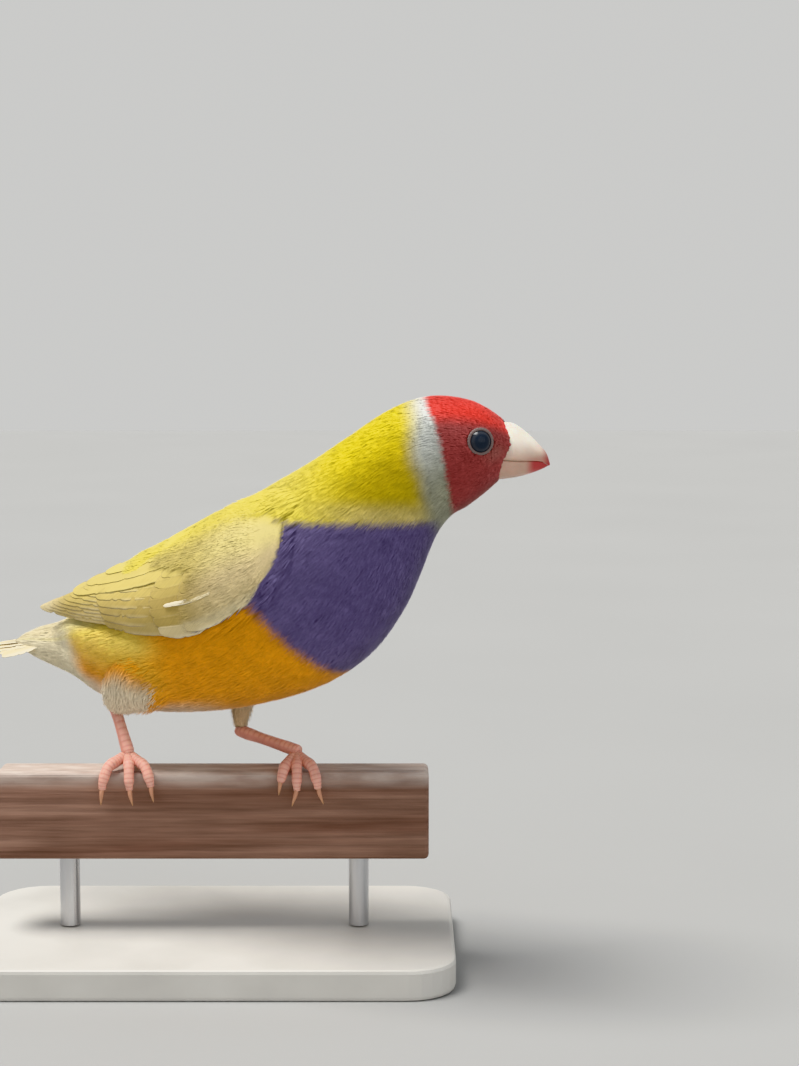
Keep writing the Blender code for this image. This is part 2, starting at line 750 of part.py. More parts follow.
def make_foot(name, leg, toes, hind_drift):
    """The shank with its four toes, which grip the perch, as one solid."""
    foot = shank(name, leg, finish=material("pink", 0.5))
    ankle = on_perch(leg["ankle"])
    pieces = hind_toe(ankle, hind_drift)
    for spread, reach, drift in toes:
        pieces += front_toe(ankle, spread, reach, drift)
    combine(foot, pieces, "UNION")
    combine(foot, [grown_body()], "DIFFERENCE")
    return shade_round(foot)


def rounded_block(name, size, corner, bottom, finish):
    """A block with corners rounded in plan, standing on bottom."""
    length, width, height = (s / 2 for s in size)
    outline = []
    for sign_x, sign_y, start in ((1, 1, 0), (-1, 1, 90), (-1, -1, 180), (1, -1, 270)):
        for step in range(7):
            turn = radians(start + 15 * step)
            outline.append(
                (
                    sign_x * (length - corner) + corner * cos(turn),
                    sign_y * (width - corner) + corner * sin(turn),
                )
            )
    rings = [
        [Vector((x * MM, y * MM, h * MM)) for x, y in outline] for h in (bottom, bottom + 2 * height)
    ]
    return skin_rings(name, rings, finish)


def bevel(obj, width, segments):
    modifier = obj.modifiers.new("edges", "BEVEL")
    modifier.width = width * MM
    modifier.segments = segments
    modifier.limit_method = "ANGLE"
    modifier.angle_limit = radians(50)
    apply_modifier(obj, modifier)
    return shade_round(obj)


def make_stand():
    bevel(rounded_block("stand_base", BASE, BASE_CORNER, 0.0, material("base", 0.5)), 0.8, 2)
    low = BASE[2] + GAP
    for name, sign in (("stand_rod_left", -1), ("stand_rod_right", 1)):
        ends = [Vector((sign * ROD_SPREAD * MM, 0, h * MM)) for h in (low, low + ROD_HEIGHT)]
        tube(name, ends, (ROD_DIAMETER / 2,) * 2, 24, 2, material("steel", 0.3, 1.0))
        shade_round(bpy.data.objects[name])


def make_perch():
    length, depth, height = PERCH
    low = PERCH_TOP - height
    face = ((-depth / 2, low), (depth / 2, low), (depth / 2, PERCH_TOP), (-depth / 2, PERCH_TOP))
    ends = [
        [Vector((x * MM, y * MM, h * MM)) for y, h in face] for x in (-length / 2, length / 2)
    ]
    bevel(skin_rings("perch", ends, material("wood", 0.65)), PERCH_EDGE, 3)


def main():
    clear_scene()
    make_stand()
    make_perch()
    make_head()
    make_eyes()
    make_bill()
    make_neck_and_torso()
    make_wing("wing_left", 1)
    make_wing("wing_right", -1)
    make_tail()
    for side_name, leg in LEGS.items():
        make_thigh("thigh_" + side_name, leg)
        make_foot("foot_" + side_name, leg, FRONT_TOES[side_name], HIND_TOE_DRIFT[side_name])


main()
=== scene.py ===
"""The looks of the gouldian finch on its perch: skin, feathers, bill, eyes, feet, perch and stand.

Sizes are in millimetres. The bird is drawn straight first, as in the part's source: u forward along its body,
v to its left and h above the perch's top. place() then turns it on the perch and bends its neck.
"""

import bpy
import numpy as np
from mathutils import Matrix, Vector
from mathutils.kdtree import KDTree


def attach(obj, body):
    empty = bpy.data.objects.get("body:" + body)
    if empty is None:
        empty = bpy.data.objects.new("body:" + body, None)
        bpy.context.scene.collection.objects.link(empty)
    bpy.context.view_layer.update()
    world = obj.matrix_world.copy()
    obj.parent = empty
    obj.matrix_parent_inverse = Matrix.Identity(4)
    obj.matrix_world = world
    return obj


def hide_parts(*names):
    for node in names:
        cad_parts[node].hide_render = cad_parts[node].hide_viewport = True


MM = 0.001

# The same named sizes as the part's source
BASE = (96.0, 60.0, 6.0)
GAP = 0.3
ROD_HEIGHT = 14.0
PERCH = (86.0, 10.0, 17.5)
PERCH_TOP = BASE[2] + GAP + ROD_HEIGHT + GAP + PERCH[2]
BODY_TURN = np.radians(27)
NECK_BEND_START, NECK_BEND_END = 30.0, 52.0

# The body's slanted sections from the bill back: u and h of its back line and belly line, and its half width.
# The first row is the bill's root, where the face feathers end, and the last three are the tail coverts.
FRONT_ROWS = 1
ROWS = np.array([
    (63.6, 68.5, 62.8, 59.2, 4.15),
    (61.0, 70.0, 60.2, 58.7, 4.9),
    (57.8, 72.2, 57.0, 56.1, 7.0),
    (54.3, 73.8, 53.8, 53.7, 8.4),
    (48.9, 74.6, 51.7, 52.6, 9.3),
    (44.1, 73.9, 50.2, 51.2, 9.9),
    (38.4, 71.4, 48.6, 49.0, 11.0),
    (31.2, 66.6, 47.0, 45.6, 12.6),
    (23.6, 61.9, 45.0, 40.4, 14.0),
    (15.8, 57.8, 41.5, 33.2, 15.0),
    (7.8, 53.4, 35.0, 25.0, 15.3),
    (-0.3, 49.0, 24.8, 18.4, 15.0),
    (-8.4, 44.8, 11.6, 13.9, 14.2),
    (-16.0, 40.4, -1.6, 11.3, 12.6),
    (-22.5, 36.0, -14.0, 10.6, 10.6),
    (-28.5, 31.6, -24.8, 12.6, 7.8),
    (-34.0, 28.2, -32.4, 16.0, 4.9),
    (-38.0, 27.0, -37.2, 17.6, 4.4),
    (-42.5, 25.8, -42.1, 19.2, 3.8),
    (-47.0, 24.3, -46.9, 21.2, 2.7),
])
LAST_SECTION = len(ROWS) - 1 - FRONT_ROWS

# The eyes: the left ball's middle (u, v, h), the way it looks and its radius, and the bare ring on it
EYE_PLACE = (55.65, 5.6, 66.15)
EYE_LOOKS = (0.3, 1.0, 0.06)
EYE_RADIUS = 2.75
LID_RADIUS, LID_THICKNESS, LID_HEIGHT = 2.22, 0.34, 1.78

# The bill from the side: u and h along its ridge, its mouth and its underside, and its half width on the way
CULMEN = ((60.3, 69.6), (62.7, 69.35), (65.3, 67.55), (67.4, 65.5), (68.85, 63.75), (69.55, 61.7))
MOUTH = ((60.0, 62.7), (62.4, 62.5), (64.3, 62.4), (66.2, 62.4), (67.9, 62.2), (69.3, 61.4))
UNDERSIDE = ((59.6, 58.8), (62.0, 59.1), (63.7, 59.4), (65.5, 59.9), (67.0, 60.4), (68.2, 60.9))
BILL_HALF_WIDTH = (4.3, 4.05, 3.5, 2.6, 1.5, 0.45)

# The folded wing from its bend back: u, then v and h of its low edge, of its bulge and of its top edge
WING = np.array([
    (25.0, 15.3, 44.0, 15.6, 48.3, 13.2, 52.8),
    (20.0, 15.8, 37.5, 16.9, 47.0, 10.9, 54.6),
    (13.0, 15.9, 33.0, 17.9, 45.0, 7.6, 54.0),
    (5.0, 15.4, 30.0, 17.8, 41.6, 4.6, 51.3),
    (-5.0, 14.3, 28.7, 16.9, 38.4, 2.4, 46.8),
    (-15.0, 12.5, 28.9, 14.4, 36.4, 1.4, 42.1),
    (-25.0, 9.4, 29.3, 10.5, 34.6, 1.2, 38.6),
    (-35.0, 5.6, 29.8, 6.0, 33.0, 1.2, 35.2),
    (-40.0, 3.5, 29.9, 3.7, 31.4, 1.3, 32.4),
])
WING_CORE_INSIDE = -3.0

TAIL_PAIRS = 6
TAIL_ROOT = (-36.0, 24.8)
TAIL_TIP_U = (-58.0, -53.0, -51.8, -50.6, -49.4, -48.2)
TAIL_TIP_H, TAIL_TIP_RISE = 20.8, 1.3
TAIL_FAN, TAIL_DROP, TAIL_ROLL = 0.95, 0.36, 7.0
TAIL_FEATHER_WIDTH = 3.9

# The legs, x and y in the world and h above the perch's top: the thigh's line, radii and down, the joints,
# and the toes, each with its spread, its reach down and its claw's drift along the perch
LEGS = {
    "left": {
        "thigh": ((9.5, 5.5, 25.0), (6.6, 9.8, 18.0), (5.1, 9.2, 11.5), (4.8, 8.5, 6.6)),
        "thigh_radii": (3.5, 4.5, 3.6, 2.4, 1.6, 1.0),
        # The far thigh's down is darker and warmer than the near one's: painted shade
        "down": (0.92, 0.71, 0.46),
        "heel": (4.9, 8.2, 5.8),
        "ankle": (16.6, -0.9, 3.7),
        "toes": ((-2.6, -0.4, -3.2), (0.4, -2.6, -0.6), (4.3, -2.2, 5.6)),
        "hind_drift": -1.2,
    },
    "right": {
        "thigh": ((-8.0, -1.0, 26.0), (-11.5, -1.0, 20.5), (-16.8, 0.6, 16.0), (-20.2, 2.6, 12.2)),
        "thigh_radii": (4.5, 6.0, 6.4, 5.9, 4.2, 2.2),
        "down": (0.94, 0.80, 0.58),
        "heel": (-20.3, 3.0, 12.9),
        "ankle": (-16.9, -1.4, 3.7),
        "toes": ((-4.2, -2.4, -4.8), (0.9, -2.5, 1.5), (4.9, -1.8, 5.6)),
        "hind_drift": -0.8,
    },
}
TOE_RADIUS = 1.1
SHANK_RADII = (0.8, 1.25, 1.1, 1.12, 1.2, 0.9)
TOE_RADII = (1.15, 1.08, 1.05, 1.0, 0.85, 0.62)
CLAW_RADII = (0.44, 0.5, 0.38, 0.22, 0.05)
SHANK_SCUTE, TOE_SCUTE = 1.15, 0.68

# Plumage colours, as linear reds, greens and blues
SCARLET = (0.97, 0.078, 0.058)
# CRIMSON, low on the face, is partly a deeper red and partly painted shade
CRIMSON = (0.42, 0.098, 0.095)
ROSE = (0.46, 0.17, 0.15)
COLLAR = (0.60, 0.62, 0.58)
# COLLAR_TOP and COLLAR_SHADE are partly the collar's own colours, partly painted light and painted shade
COLLAR_TOP = (0.93, 0.93, 0.90)
COLLAR_SHADE = (0.42, 0.42, 0.31)
GOLD = (0.96, 0.78, 0.014)
# OLD_GOLD and BUFF, low on the neck, are partly duller feathers and partly painted shade
OLD_GOLD = (0.60, 0.44, 0.008)
BUFF = (0.82, 0.68, 0.28)
BACK = (0.96, 0.80, 0.12)
# STRAW and YOLK are made as light as the colours allow: real yellows, partly painted light on the flank
STRAW = (1.0, 0.74, 0.165)
VIOLET = (0.190, 0.156, 0.318)
ORANGE = (0.93, 0.38, 0.015)
YOLK = (0.99, 0.64, 0.11)
PALE = (0.99, 0.86, 0.38)
CREAM = (0.95, 0.82, 0.52)
WHITE = (0.96, 0.87, 0.66)
FLUFF = (0.87, 0.77, 0.62)
# The wing's colours are lighter on top and darker low down, partly as painted light and painted shade
WING_BEND = (0.93, 0.79, 0.32)
WING_LOW = (0.82, 0.66, 0.36)
WING_YELLOW = (0.68, 0.55, 0.17)
WING_TOP = (0.82, 0.70, 0.19)
WING_SHADE = (0.50, 0.37, 0.12)

# Colours of the bare parts
# The eye's dark blue-grey is a dark eye with painted reflection of the pale sky
EYE_MIDDLE_AND_PAINTED_SKY, IRIS_AND_PAINTED_SKY, IRIS_EDGE = (0.03, 0.038, 0.055), (0.06, 0.066, 0.08), (0.01, 0.012, 0.018)
EYE_SKIN, LID, LID_INSIDE = (0.22, 0.07, 0.065), (0.23, 0.17, 0.16), (0.03, 0.03, 0.035)
# HORN_HIGH, on the bill's top, is partly its pale horn and partly painted light
HORN_LOW, HORN_HIGH, HORN_TIP = (0.66, 0.45, 0.35), (0.94, 0.88, 0.77), (0.52, 0.055, 0.06)
# SCUTE_TOP, the lighter upper side of legs and toes, is partly paler plates and partly painted light
SCUTE_ROOT, SCUTE_TOP, SCUTE_SEAM = (0.70, 0.27, 0.21), (0.94, 0.58, 0.47), (0.62, 0.22, 0.18)
CLAW_ROOT, CLAW_TIP = (0.66, 0.34, 0.22), (0.62, 0.36, 0.20)

SEED = 41


def smooth(rows, t):
    """The rows' values at each t counted in rows, on a smooth curve through them."""
    rows = np.asarray(rows, float)
    last = len(rows) - 1
    t = np.clip(t, 0, last)
    i = np.minimum(t.astype(int), last - 1)
    f = (t - i)[..., None]
    before, here, there, after = (rows[np.clip(i + k, 0, last)] for k in (-1, 0, 1, 2))
    return 0.5 * (
        2 * here
        + (there - before) * f
        + (2 * before - 5 * here + 4 * there - after) * f**2
        + (3 * here - before - 3 * there + after) * f**3
    )


LINE_REACH, LINE_STEP = 90.0, 0.25


def heading_line():
    """The plan of the bird's middle: u, X, Y and heading along it, by small steps."""
    u = np.arange(-LINE_REACH, LINE_REACH + 0.01, LINE_STEP)
    share = np.clip((u - NECK_BEND_START) / (NECK_BEND_END - NECK_BEND_START), 0, 1)
    heading = -BODY_TURN * (1 - share)
    middle = (heading[1:] + heading[:-1]) / 2
    x = np.concatenate([[0], np.cumsum(np.cos(middle) * LINE_STEP)])
    y = np.concatenate([[0], np.cumsum(np.sin(middle) * LINE_STEP)])
    start = int(np.argmin(abs(u)))
    return u, x - x[start], y - y[start], heading


HEADING_LINE = heading_line()


def place(flat):
    """Points of the straight bird (u, v, h) in the world."""
    flat = np.asarray(flat, float)
    line_u, line_x, line_y, line_heading = HEADING_LINE
    x, y, heading = (np.interp(flat[..., 0], line_u, line) for line in (line_x, line_y, line_heading))
    v = flat[..., 1]
    x, y = x - v * np.sin(heading), y + v * np.cos(heading)
    return np.stack([x, y, flat[..., 2] + PERCH_TOP], -1)


def on_perch(points):
    return np.asarray(points, float) + (0.0, 0.0, PERCH_TOP)


def ease(x, low, high):
    """0 below low and 1 above high, smooth between."""
    share = np.clip((np.asarray(x, float) - low) / (high - low), 0, 1)
    return share * share * (3 - 2 * share)


def mix(one, other, share):
    return np.asarray(one) + (np.asarray(other) - np.asarray(one)) * np.asarray(share)[..., None]


def unit(vectors):
    return vectors / np.maximum(np.linalg.norm(vectors, axis=-1, keepdims=True), 1e-9)


# Surfaces: each gives world points for a (back along the bird), b (round or across) and the lift off it


def body_flat(t, turn, lift):
    back_u, back_h, belly_u, belly_h, half = np.moveaxis(smooth(ROWS, t + FRONT_ROWS), -1, 0)
    up_u, up_h = (back_u - belly_u) / 2, (back_h - belly_h) / 2
    grow = 1 + lift / np.hypot(up_u, up_h)
    u = (back_u + belly_u) / 2 + up_u * grow * np.sin(turn)
    h = (back_h + belly_h) / 2 + up_h * grow * np.sin(turn)
    return np.stack([u, (half + lift) * np.cos(turn), h], -1)


def body(t, turn, lift):
    return place(body_flat(t, turn, lift))


# The flank's feathers along the wing's low edge: the section, the edge's height as a sine, how far they rise
FLANK = np.array([
    (11.5, -0.15, 0.0),
    (12.2, -0.04, 0.6),
    (12.7, 0.1, 1.15),
    (13.5, 0.29, 1.8),
    (14.0, 0.42, 2.2),
    (14.6, 0.6, 2.1),
    (15.3, 0.74, 0.9),
    (15.9, 0.86, 0.0),
])


def swell(t, turn):
    """How far the plumage stands out: the flank's at the wing's low edge, the rump's under the wing tips."""
    up, u = np.sin(turn), body_flat(t, turn, 0 * t)[..., 0]
    edge, rise = (np.interp(t, FLANK[:, 0], FLANK[:, i]) for i in (1, 2))
    flank = rise * np.where(up < edge, ease(up - edge, -0.6, -0.04), 1 - ease(up - edge, 0.0, 0.4))
    rump = 2.0 * ease(up, 0.4, 0.85) * ease(u, -36.0, -28.0) * ease(-u, 4.0, 15.0)
    return np.maximum(flank, rump)


def coat_body(t, turn, lift):
    return body(t, turn, lift + swell(t, turn))


def wing_flat(back, across, out, side):
    """The folded wing's sheet, back being -u and across 0 at its low edge and 1 at its top edge."""
    t = np.interp(back, -WING[:, 0], np.arange(len(WING)))
    _, low_v, low_h, pull_v, pull_h, top_v, top_h = np.moveaxis(smooth(WING, t), -1, 0)
    q = across
    v = (1 - q) ** 2 * low_v + 2 * q * (1 - q) * pull_v + q**2 * top_v
    h = (1 - q) ** 2 * low_h + 2 * q * (1 - q) * pull_h + q**2 * top_h
    along_v = 2 * (1 - q) * (pull_v - low_v) + 2 * q * (top_v - pull_v)
    along_h = 2 * (1 - q) * (pull_h - low_h) + 2 * q * (top_h - pull_h)
    size = np.hypot(along_v, along_h)
    v = v + along_h / size * out
    h = h - along_v / size * out
    return np.stack([-back + 0 * v, np.maximum(v, 0.35) * side, h], -1)


def wing_surface(side):
    return lambda back, across, out: place(wing_flat(back, across, out, side))


class Tube:
    """A round form along a smooth line: a runs from 0 to 1, b turns round from its upper side."""

    def __init__(self, route, radii, upper):
        steps = np.linspace(0, 1, 200)
        self.steps = steps
        self.centre = smooth(route, steps * (len(route) - 1))
        self.radius = smooth([(r,) for r in radii], steps * (len(radii) - 1))[:, 0]
        ahead = unit(np.gradient(self.centre, axis=0))
        upper = np.asarray(upper, float)
        self.upper = unit(upper - ahead * (ahead @ upper)[:, None])
        self.side = np.cross(ahead, self.upper)
        self.length = float(np.linalg.norm(np.diff(self.centre, axis=0), axis=1).sum())

    def line(self, table, a):
        return np.stack([np.interp(a, self.steps, table[:, i]) for i in range(3)], -1)

    def __call__(self, a, b, lift):
        radius = np.interp(a, self.steps, self.radius) + lift
        upper, side = self.line(self.upper, a), self.line(self.side, a)
        round_about = upper * np.cos(b)[..., None] + side * np.sin(b)[..., None]
        return self.line(self.centre, a) + round_about * radius[..., None]


def frame_of(surface, a, b, lift, step=0.01):
    """The point, the vectors for one step of a and of b, and the way out."""
    point = surface(a, b, lift)
    along = (surface(a + step, b, lift) - surface(a - step, b, lift)) / (2 * step)
    across = (surface(a, b + step, lift) - surface(a, b - step, lift)) / (2 * step)
    out = unit(np.cross(along, across))
    outward = surface(a, b, lift + 0.2) - point
    out *= np.sign((out * outward).sum(-1, keepdims=True))
    return point, along, across, out


# Meshes


def new_mesh(name, points, faces, finish, colour=None, uv=None, normals=None, grain=None):
    """A mesh object from points in millimetres and a list of face arrays, with its colours and bake map."""
    mesh = bpy.data.meshes.new(name)
    loops = np.concatenate([f.ravel() for f in faces]).astype(np.int32)
    sizes = np.concatenate([np.full(len(f), f.shape[1]) for f in faces])
    starts = np.concatenate([[0], np.cumsum(sizes)[:-1]]).astype(np.int32)
    mesh.vertices.add(len(points))
    mesh.vertices.foreach_set("co", (np.asarray(points) * MM).astype(np.float32).ravel())
    mesh.loops.add(len(loops))
    mesh.loops.foreach_set("vertex_index", loops)
    mesh.polygons.add(len(starts))
    mesh.polygons.foreach_set("loop_start", starts)
    mesh.update(calc_edges=True)
    mesh.polygons.foreach_set("use_smooth", np.full(len(starts), True))
    if colour is not None:
        made = mesh.color_attributes.new("plumage", "FLOAT_COLOR", "POINT")
        rgba = np.concatenate([np.clip(colour, 0, 1), np.ones((len(points), 1))], 1)
        made.data.foreach_set("color", rgba.astype(np.float32).ravel())
    if grain is not None:
        made = mesh.attributes.new("grain", "FLOAT_VECTOR", "POINT")
        made.data.foreach_set("vector", np.asarray(grain, np.float32).ravel())
    if uv is not None:
        layer = mesh.uv_layers.new(name="OFBake")
        layer.data.foreach_set("uv", np.asarray(uv)[loops].astype(np.float32).ravel())
    if normals is not None:
        mesh.normals_split_custom_set_from_vertices(normals.tolist())
    mesh.materials.append(finish)
    obj = bpy.data.objects.new(name, mesh)
    bpy.context.scene.collection.objects.link(obj)
    return obj


def add_piece(obj, slot, *nodes):
    """The object as a piece that rides on the bird and stands for the nodes given."""
    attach(obj, "root")
    if nodes:
        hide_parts(*nodes)
    return obj


def grid(along, sides):
    """Places along a round form and round it, for rings of points."""
    return np.meshgrid(along, np.linspace(0, 2 * np.pi, sides, endpoint=False), indexing="ij")


def quads_between(count, sides, closed=False):
    """Quads from each ring of points to the next, and from the last to the first where closed."""
    i, k = np.meshgrid(np.arange(count if closed else count - 1), np.arange(sides), indexing="ij")
    here, there, n = i * sides, (i + 1) % count * sides, (k + 1) % sides
    return np.stack([here + k, here + n, there + n, there + k], -1).reshape(-1, 4)


def with_ends(values):
    """The values of the rings' points (rings, sides, n) as one list, then those of the two end points."""
    return np.concatenate([values.reshape(-1, values.shape[-1]), values[[0, -1]].mean(1)])


def loft(rings):
    """Points and faces of a closed form through rings (rings, sides, 3), with a point at each end."""
    count, sides, _ = rings.shape
    points, quads = with_ends(rings), quads_between(count, sides)
    k, n = np.arange(sides), (np.arange(sides) + 1) % sides
    last = (count - 1) * sides
    root = np.stack([n, k, np.full(sides, count * sides)], -1)
    tip = np.stack([last + k, last + n, np.full(sides, count * sides + 1)], -1)
    fans = np.concatenate([root, tip])
    if signed_volume(points, quads) < 0:
        quads, fans = quads[:, ::-1], fans[:, ::-1]
    return points, [quads, fans]


def signed_volume(points, quads):
    middle = points.mean(0)
    a, b, c, d = (points[quads[:, i]] - middle for i in range(4))
    return float((a * np.cross(b, c)).sum() + (a * np.cross(c, d)).sum())


def joined(forms):
    """The points, faces and any other values of several forms, each (points, faces, ...), as one form's."""
    faces, shift = [], 0
    for points, form_faces, *_ in forms:
        faces += [f + shift for f in form_faces]
        shift += len(points)
    points, _, *others = zip(*forms)
    return np.concatenate(points), faces, *(np.concatenate(values) for values in others)


# Materials


def material(name, roughness, **inputs):
    """A new node material and its shader, with plain values on the shader's own sockets."""
    made = bpy.data.materials.new(name)
    made.use_nodes = True
    shader = made.node_tree.nodes["Principled BSDF"]
    shader.inputs["Roughness"].default_value = roughness
    for key, value in inputs.items():
        shader.inputs[key.replace("_", " ")].default_value = value
    return made, shader


def node(finish, kind, **values):
    made = finish.node_tree.nodes.new(kind)
    for key, value in values.items():
        if key in made.inputs:
            made.inputs[key].default_value = value
        else:
            setattr(made, key, value)
    return made


def link(finish, one, other):
    finish.node_tree.links.new(one, other)


def noise_at(finish, coordinates, scale, detail=3.0, stretch=(1, 1, 1)):
    mapping = node(finish, "ShaderNodeMapping")
    mapping.inputs["Scale"].default_value = stretch
    link(finish, coordinates, mapping.inputs["Vector"])
    made = node(finish, "ShaderNodeTexNoise", Scale=scale, Detail=detail)
    link(finish, mapping.outputs["Vector"], made.inputs["Vector"])
    return made.outputs["Fac"]


def ranged(finish, value, low, high, from_low=0.3, from_high=0.7):
    made = node(finish, "ShaderNodeMapRange")
    for key, number in (("From Min", from_low), ("From Max", from_high), ("To Min", low), ("To Max", high)):
        made.inputs[key].default_value = number
    link(finish, value, made.inputs["Value"])
    return made.outputs["Result"]


def times(finish, colour, value):
    """The colour made lighter or darker by a value round 1."""
    made = node(finish, "ShaderNodeVectorMath", operation="SCALE")
    link(finish, colour, made.inputs[0])
    link(finish, value, made.inputs["Scale"])
    return made.outputs["Vector"]


def bump(finish, shader, height, strength, distance):
    made = node(finish, "ShaderNodeBump")
    made.inputs["Strength"].default_value = strength
    made.inputs["Distance"].default_value = distance
    link(finish, height, made.inputs["Height"])
    link(finish, made.outputs["Normal"], shader.inputs["Normal"])


def math(finish, operation, *values):
    made = node(finish, "ShaderNodeMath", operation=operation)
    for value, socket in zip(values, made.inputs):
        link(finish, value, socket)
    return made.outputs[0]


def split(finish, vector):
    """A vector's three numbers."""
    made = node(finish, "ShaderNodeSeparateXYZ")
    link(finish, vector, made.inputs["Vector"])
    return made.outputs


def ramp(finish, value, *stops):
    """A colour that runs between two stops, each a value and its colour."""
    made = node(finish, "ShaderNodeValToRGB")
    for element, (position, colour) in zip(made.color_ramp.elements, stops):
        element.position, element.color = position, (*colour, 1)
    link(finish, value, made.inputs["Fac"])
    return made.outputs["Color"]


def attribute(finish, name, output):
    made = node(finish, "ShaderNodeAttribute")
    made.attribute_name = name
    return made.outputs[output]


def object_place(finish):
    return node(finish, "ShaderNodeTexCoord").outputs["Object"]


FEATHER_ROUGHNESS = 0.62


def feather_material(name):
    """Soft feathers: the colours laid on the mesh, a little uneven, with a fine silky grain."""
    sheen = {"Sheen_Weight": 0.25, "Sheen_Roughness": 0.5}
    finish, shader = material(name, FEATHER_ROUGHNESS, Specular_IOR_Level=0.25, **sheen)
    spot = object_place(finish)
    broad = ranged(finish, noise_at(finish, spot, 260.0), 0.9, 1.08)
    fine = ranged(finish, noise_at(finish, spot, 2600.0, 2.0), 0.93, 1.06)
    colour = attribute(finish, "plumage", "Color")
    link(finish, times(finish, times(finish, colour, broad), fine), shader.inputs["Base Color"])
    rough = ranged(finish, noise_at(finish, spot, 900.0), FEATHER_ROUGHNESS - 0.07, FEATHER_ROUGHNESS + 0.1)
    link(finish, rough, shader.inputs["Roughness"])
    return finish


def vane_material(name):
    """Flight feathers: fine barbs that slant from the shaft to the edge."""
    finish, shader = material(name, 0.5, Specular_IOR_Level=0.3, Sheen_Weight=0.15, Sheen_Roughness=0.5)
    across, along, feather = split(finish, attribute(finish, "grain", "Vector"))
    slanted = node(finish, "ShaderNodeCombineXYZ")
    link(finish, math(finish, "SUBTRACT", along, math(finish, "ABSOLUTE", across)), slanted.inputs["X"])
    link(finish, feather, slanted.inputs["Y"])
    barbs = noise_at(finish, slanted.outputs["Vector"], 3.2, 2.0, (1.0, 7.0, 1.0))
    colour = attribute(finish, "plumage", "Color")
    shade = ranged(finish, barbs, 0.9, 1.07)
    broad = ranged(finish, noise_at(finish, object_place(finish), 300.0), 0.93, 1.05)
    link(finish, times(finish, times(finish, colour, shade), broad), shader.inputs["Base Color"])
    link(finish, ranged(finish, barbs, 0.42, 0.6), shader.inputs["Roughness"])
    bump(finish, shader, barbs, 0.35, 0.00006)
    return finish


# Where each colour of the plumage lies


def mask_edge(turn):
    """The section where the red mask ends, by the turn round the body."""
    return 3.3 + 0.16 * np.sin(turn) ** 2 * np.sign(np.sin(turn)) + 0.12 * np.cos(2 * turn + np.pi)


def collar_edge(turn):
    return 4.05 + 0.4 * ease(-np.sin(turn), -0.8, 0.0) + 0.35 * ease(-np.sin(turn), 0.1, 0.6)


def face_edge(turn):
    """The section where the face feathers end at the bill: furthest forward at the lores."""
    return 0.04 - 0.5 * np.exp(-(((np.sin(turn) - 0.3) / 0.55) ** 2))


def plumage(t, turn, flat):
    """The colour of the plumage at the body's section t and turn, which is at flat (u, v, h)."""
    u, h = flat[..., 0], flat[..., 2]
    up = np.sin(turn)
    ahead = 1 - ease(up, 0.12, 0.3) * (1 - ease(u, 21.8, 23.4))
    above = up - np.interp(t, FLANK[:, 0], FLANK[:, 1])
    # The yellow flank and its pale strip at the wing's low edge: their own yellows, made extra light as
    # painted light where the wing shades them
    belly = mix(ORANGE, YOLK, ease(t, 11.5, 12.6) * ease(above, -0.8, -0.12))
    belly = mix(belly, STRAW, ease(above, -0.2, 0.06) * ease(t, 11.3, 12.2) * 0.9)
    belly = mix(belly, FLUFF, ease(-up, 0.74, 0.96) * ease(t, 11.0, 12.2) * 0.65)
    belly = mix(belly, FLUFF, ease(-up, 0.3, 0.7) * ease(t, 12.9, 13.9) * 0.8)
    belly = mix(belly, mix(CREAM, WHITE, 0.5), ease(t, 13.8, 14.7))
    back = mix(GOLD, BACK, ease(t, 5.8, 7.6))
    back = mix(back, PALE, ease(t, 11.5, 13.5))
    back = mix(back, CREAM, ease(t, 13.8, 15.5))
    trunk = mix(belly, back, ease(up, 0.3, 0.6))
    # Lower on the neck the gold turns duller and darker: partly duller feathers, partly painted shade
    nape = mix(OLD_GOLD, GOLD, ease(up, 0.05, 0.85))
    nape = mix(nape, BACK, ease(t, 5.8, 7.6))
    nape = mix(nape, BUFF, ease(56.5 - h, 0.0, 4.0) * ease(t, 4.6, 5.4) * ease(7.6 - t, 0.0, 1.4) * 0.8)
    nape = mix(nape, COLLAR_SHADE, ease(55.5 - h, 0.0, 4.5) * ease(5.6 - t, 0.0, 0.9) * 0.85)
    front = mix(nape, VIOLET, ease(51.3 - h, -0.35, 0.35) * ease(t, 4.35, 4.6) * ahead)
    under_wing = ease(up, 0.25, 0.45)
    front = mix(front, trunk, ease(t, 9.44, 9.56) * (1 - under_wing))
    colour = mix(front, trunk, ease(t, 9.0, 10.0) * under_wing)
    # The collar is whitest on top and greyer low down: partly its own colours, partly painted light from
    # above and painted shade
    collar = mix(mix(COLLAR_SHADE, COLLAR, ease(up, -0.6, 0.4)), COLLAR_TOP, ease(up, 0.5, 0.95))
    edge = collar_edge(turn)
    colour = mix(collar, colour, ease(t, edge - 0.42, edge + 0.42))
    # Scarlet on top, crimson low down and darker at the forehead: partly a deeper red, partly painted shade
    # under light from above
    mask = mix(CRIMSON, SCARLET, ease(up, 0.46, 0.8) * (1 - 0.3 * ease(1.2 - t, 0.0, 1.2)))
    mask = mix(mask, ROSE, np.exp(-(((t - 0.5) / 0.6) ** 2) - ((up + 0.02) / 0.26) ** 2) * 0.9)
    mask = mix(mask, ROSE, ease(-up, 0.86, 0.99) * 0.45)
    edge = mask_edge(turn)
    return mix(mask, colour, ease(t, edge - 0.04, edge + 0.04))


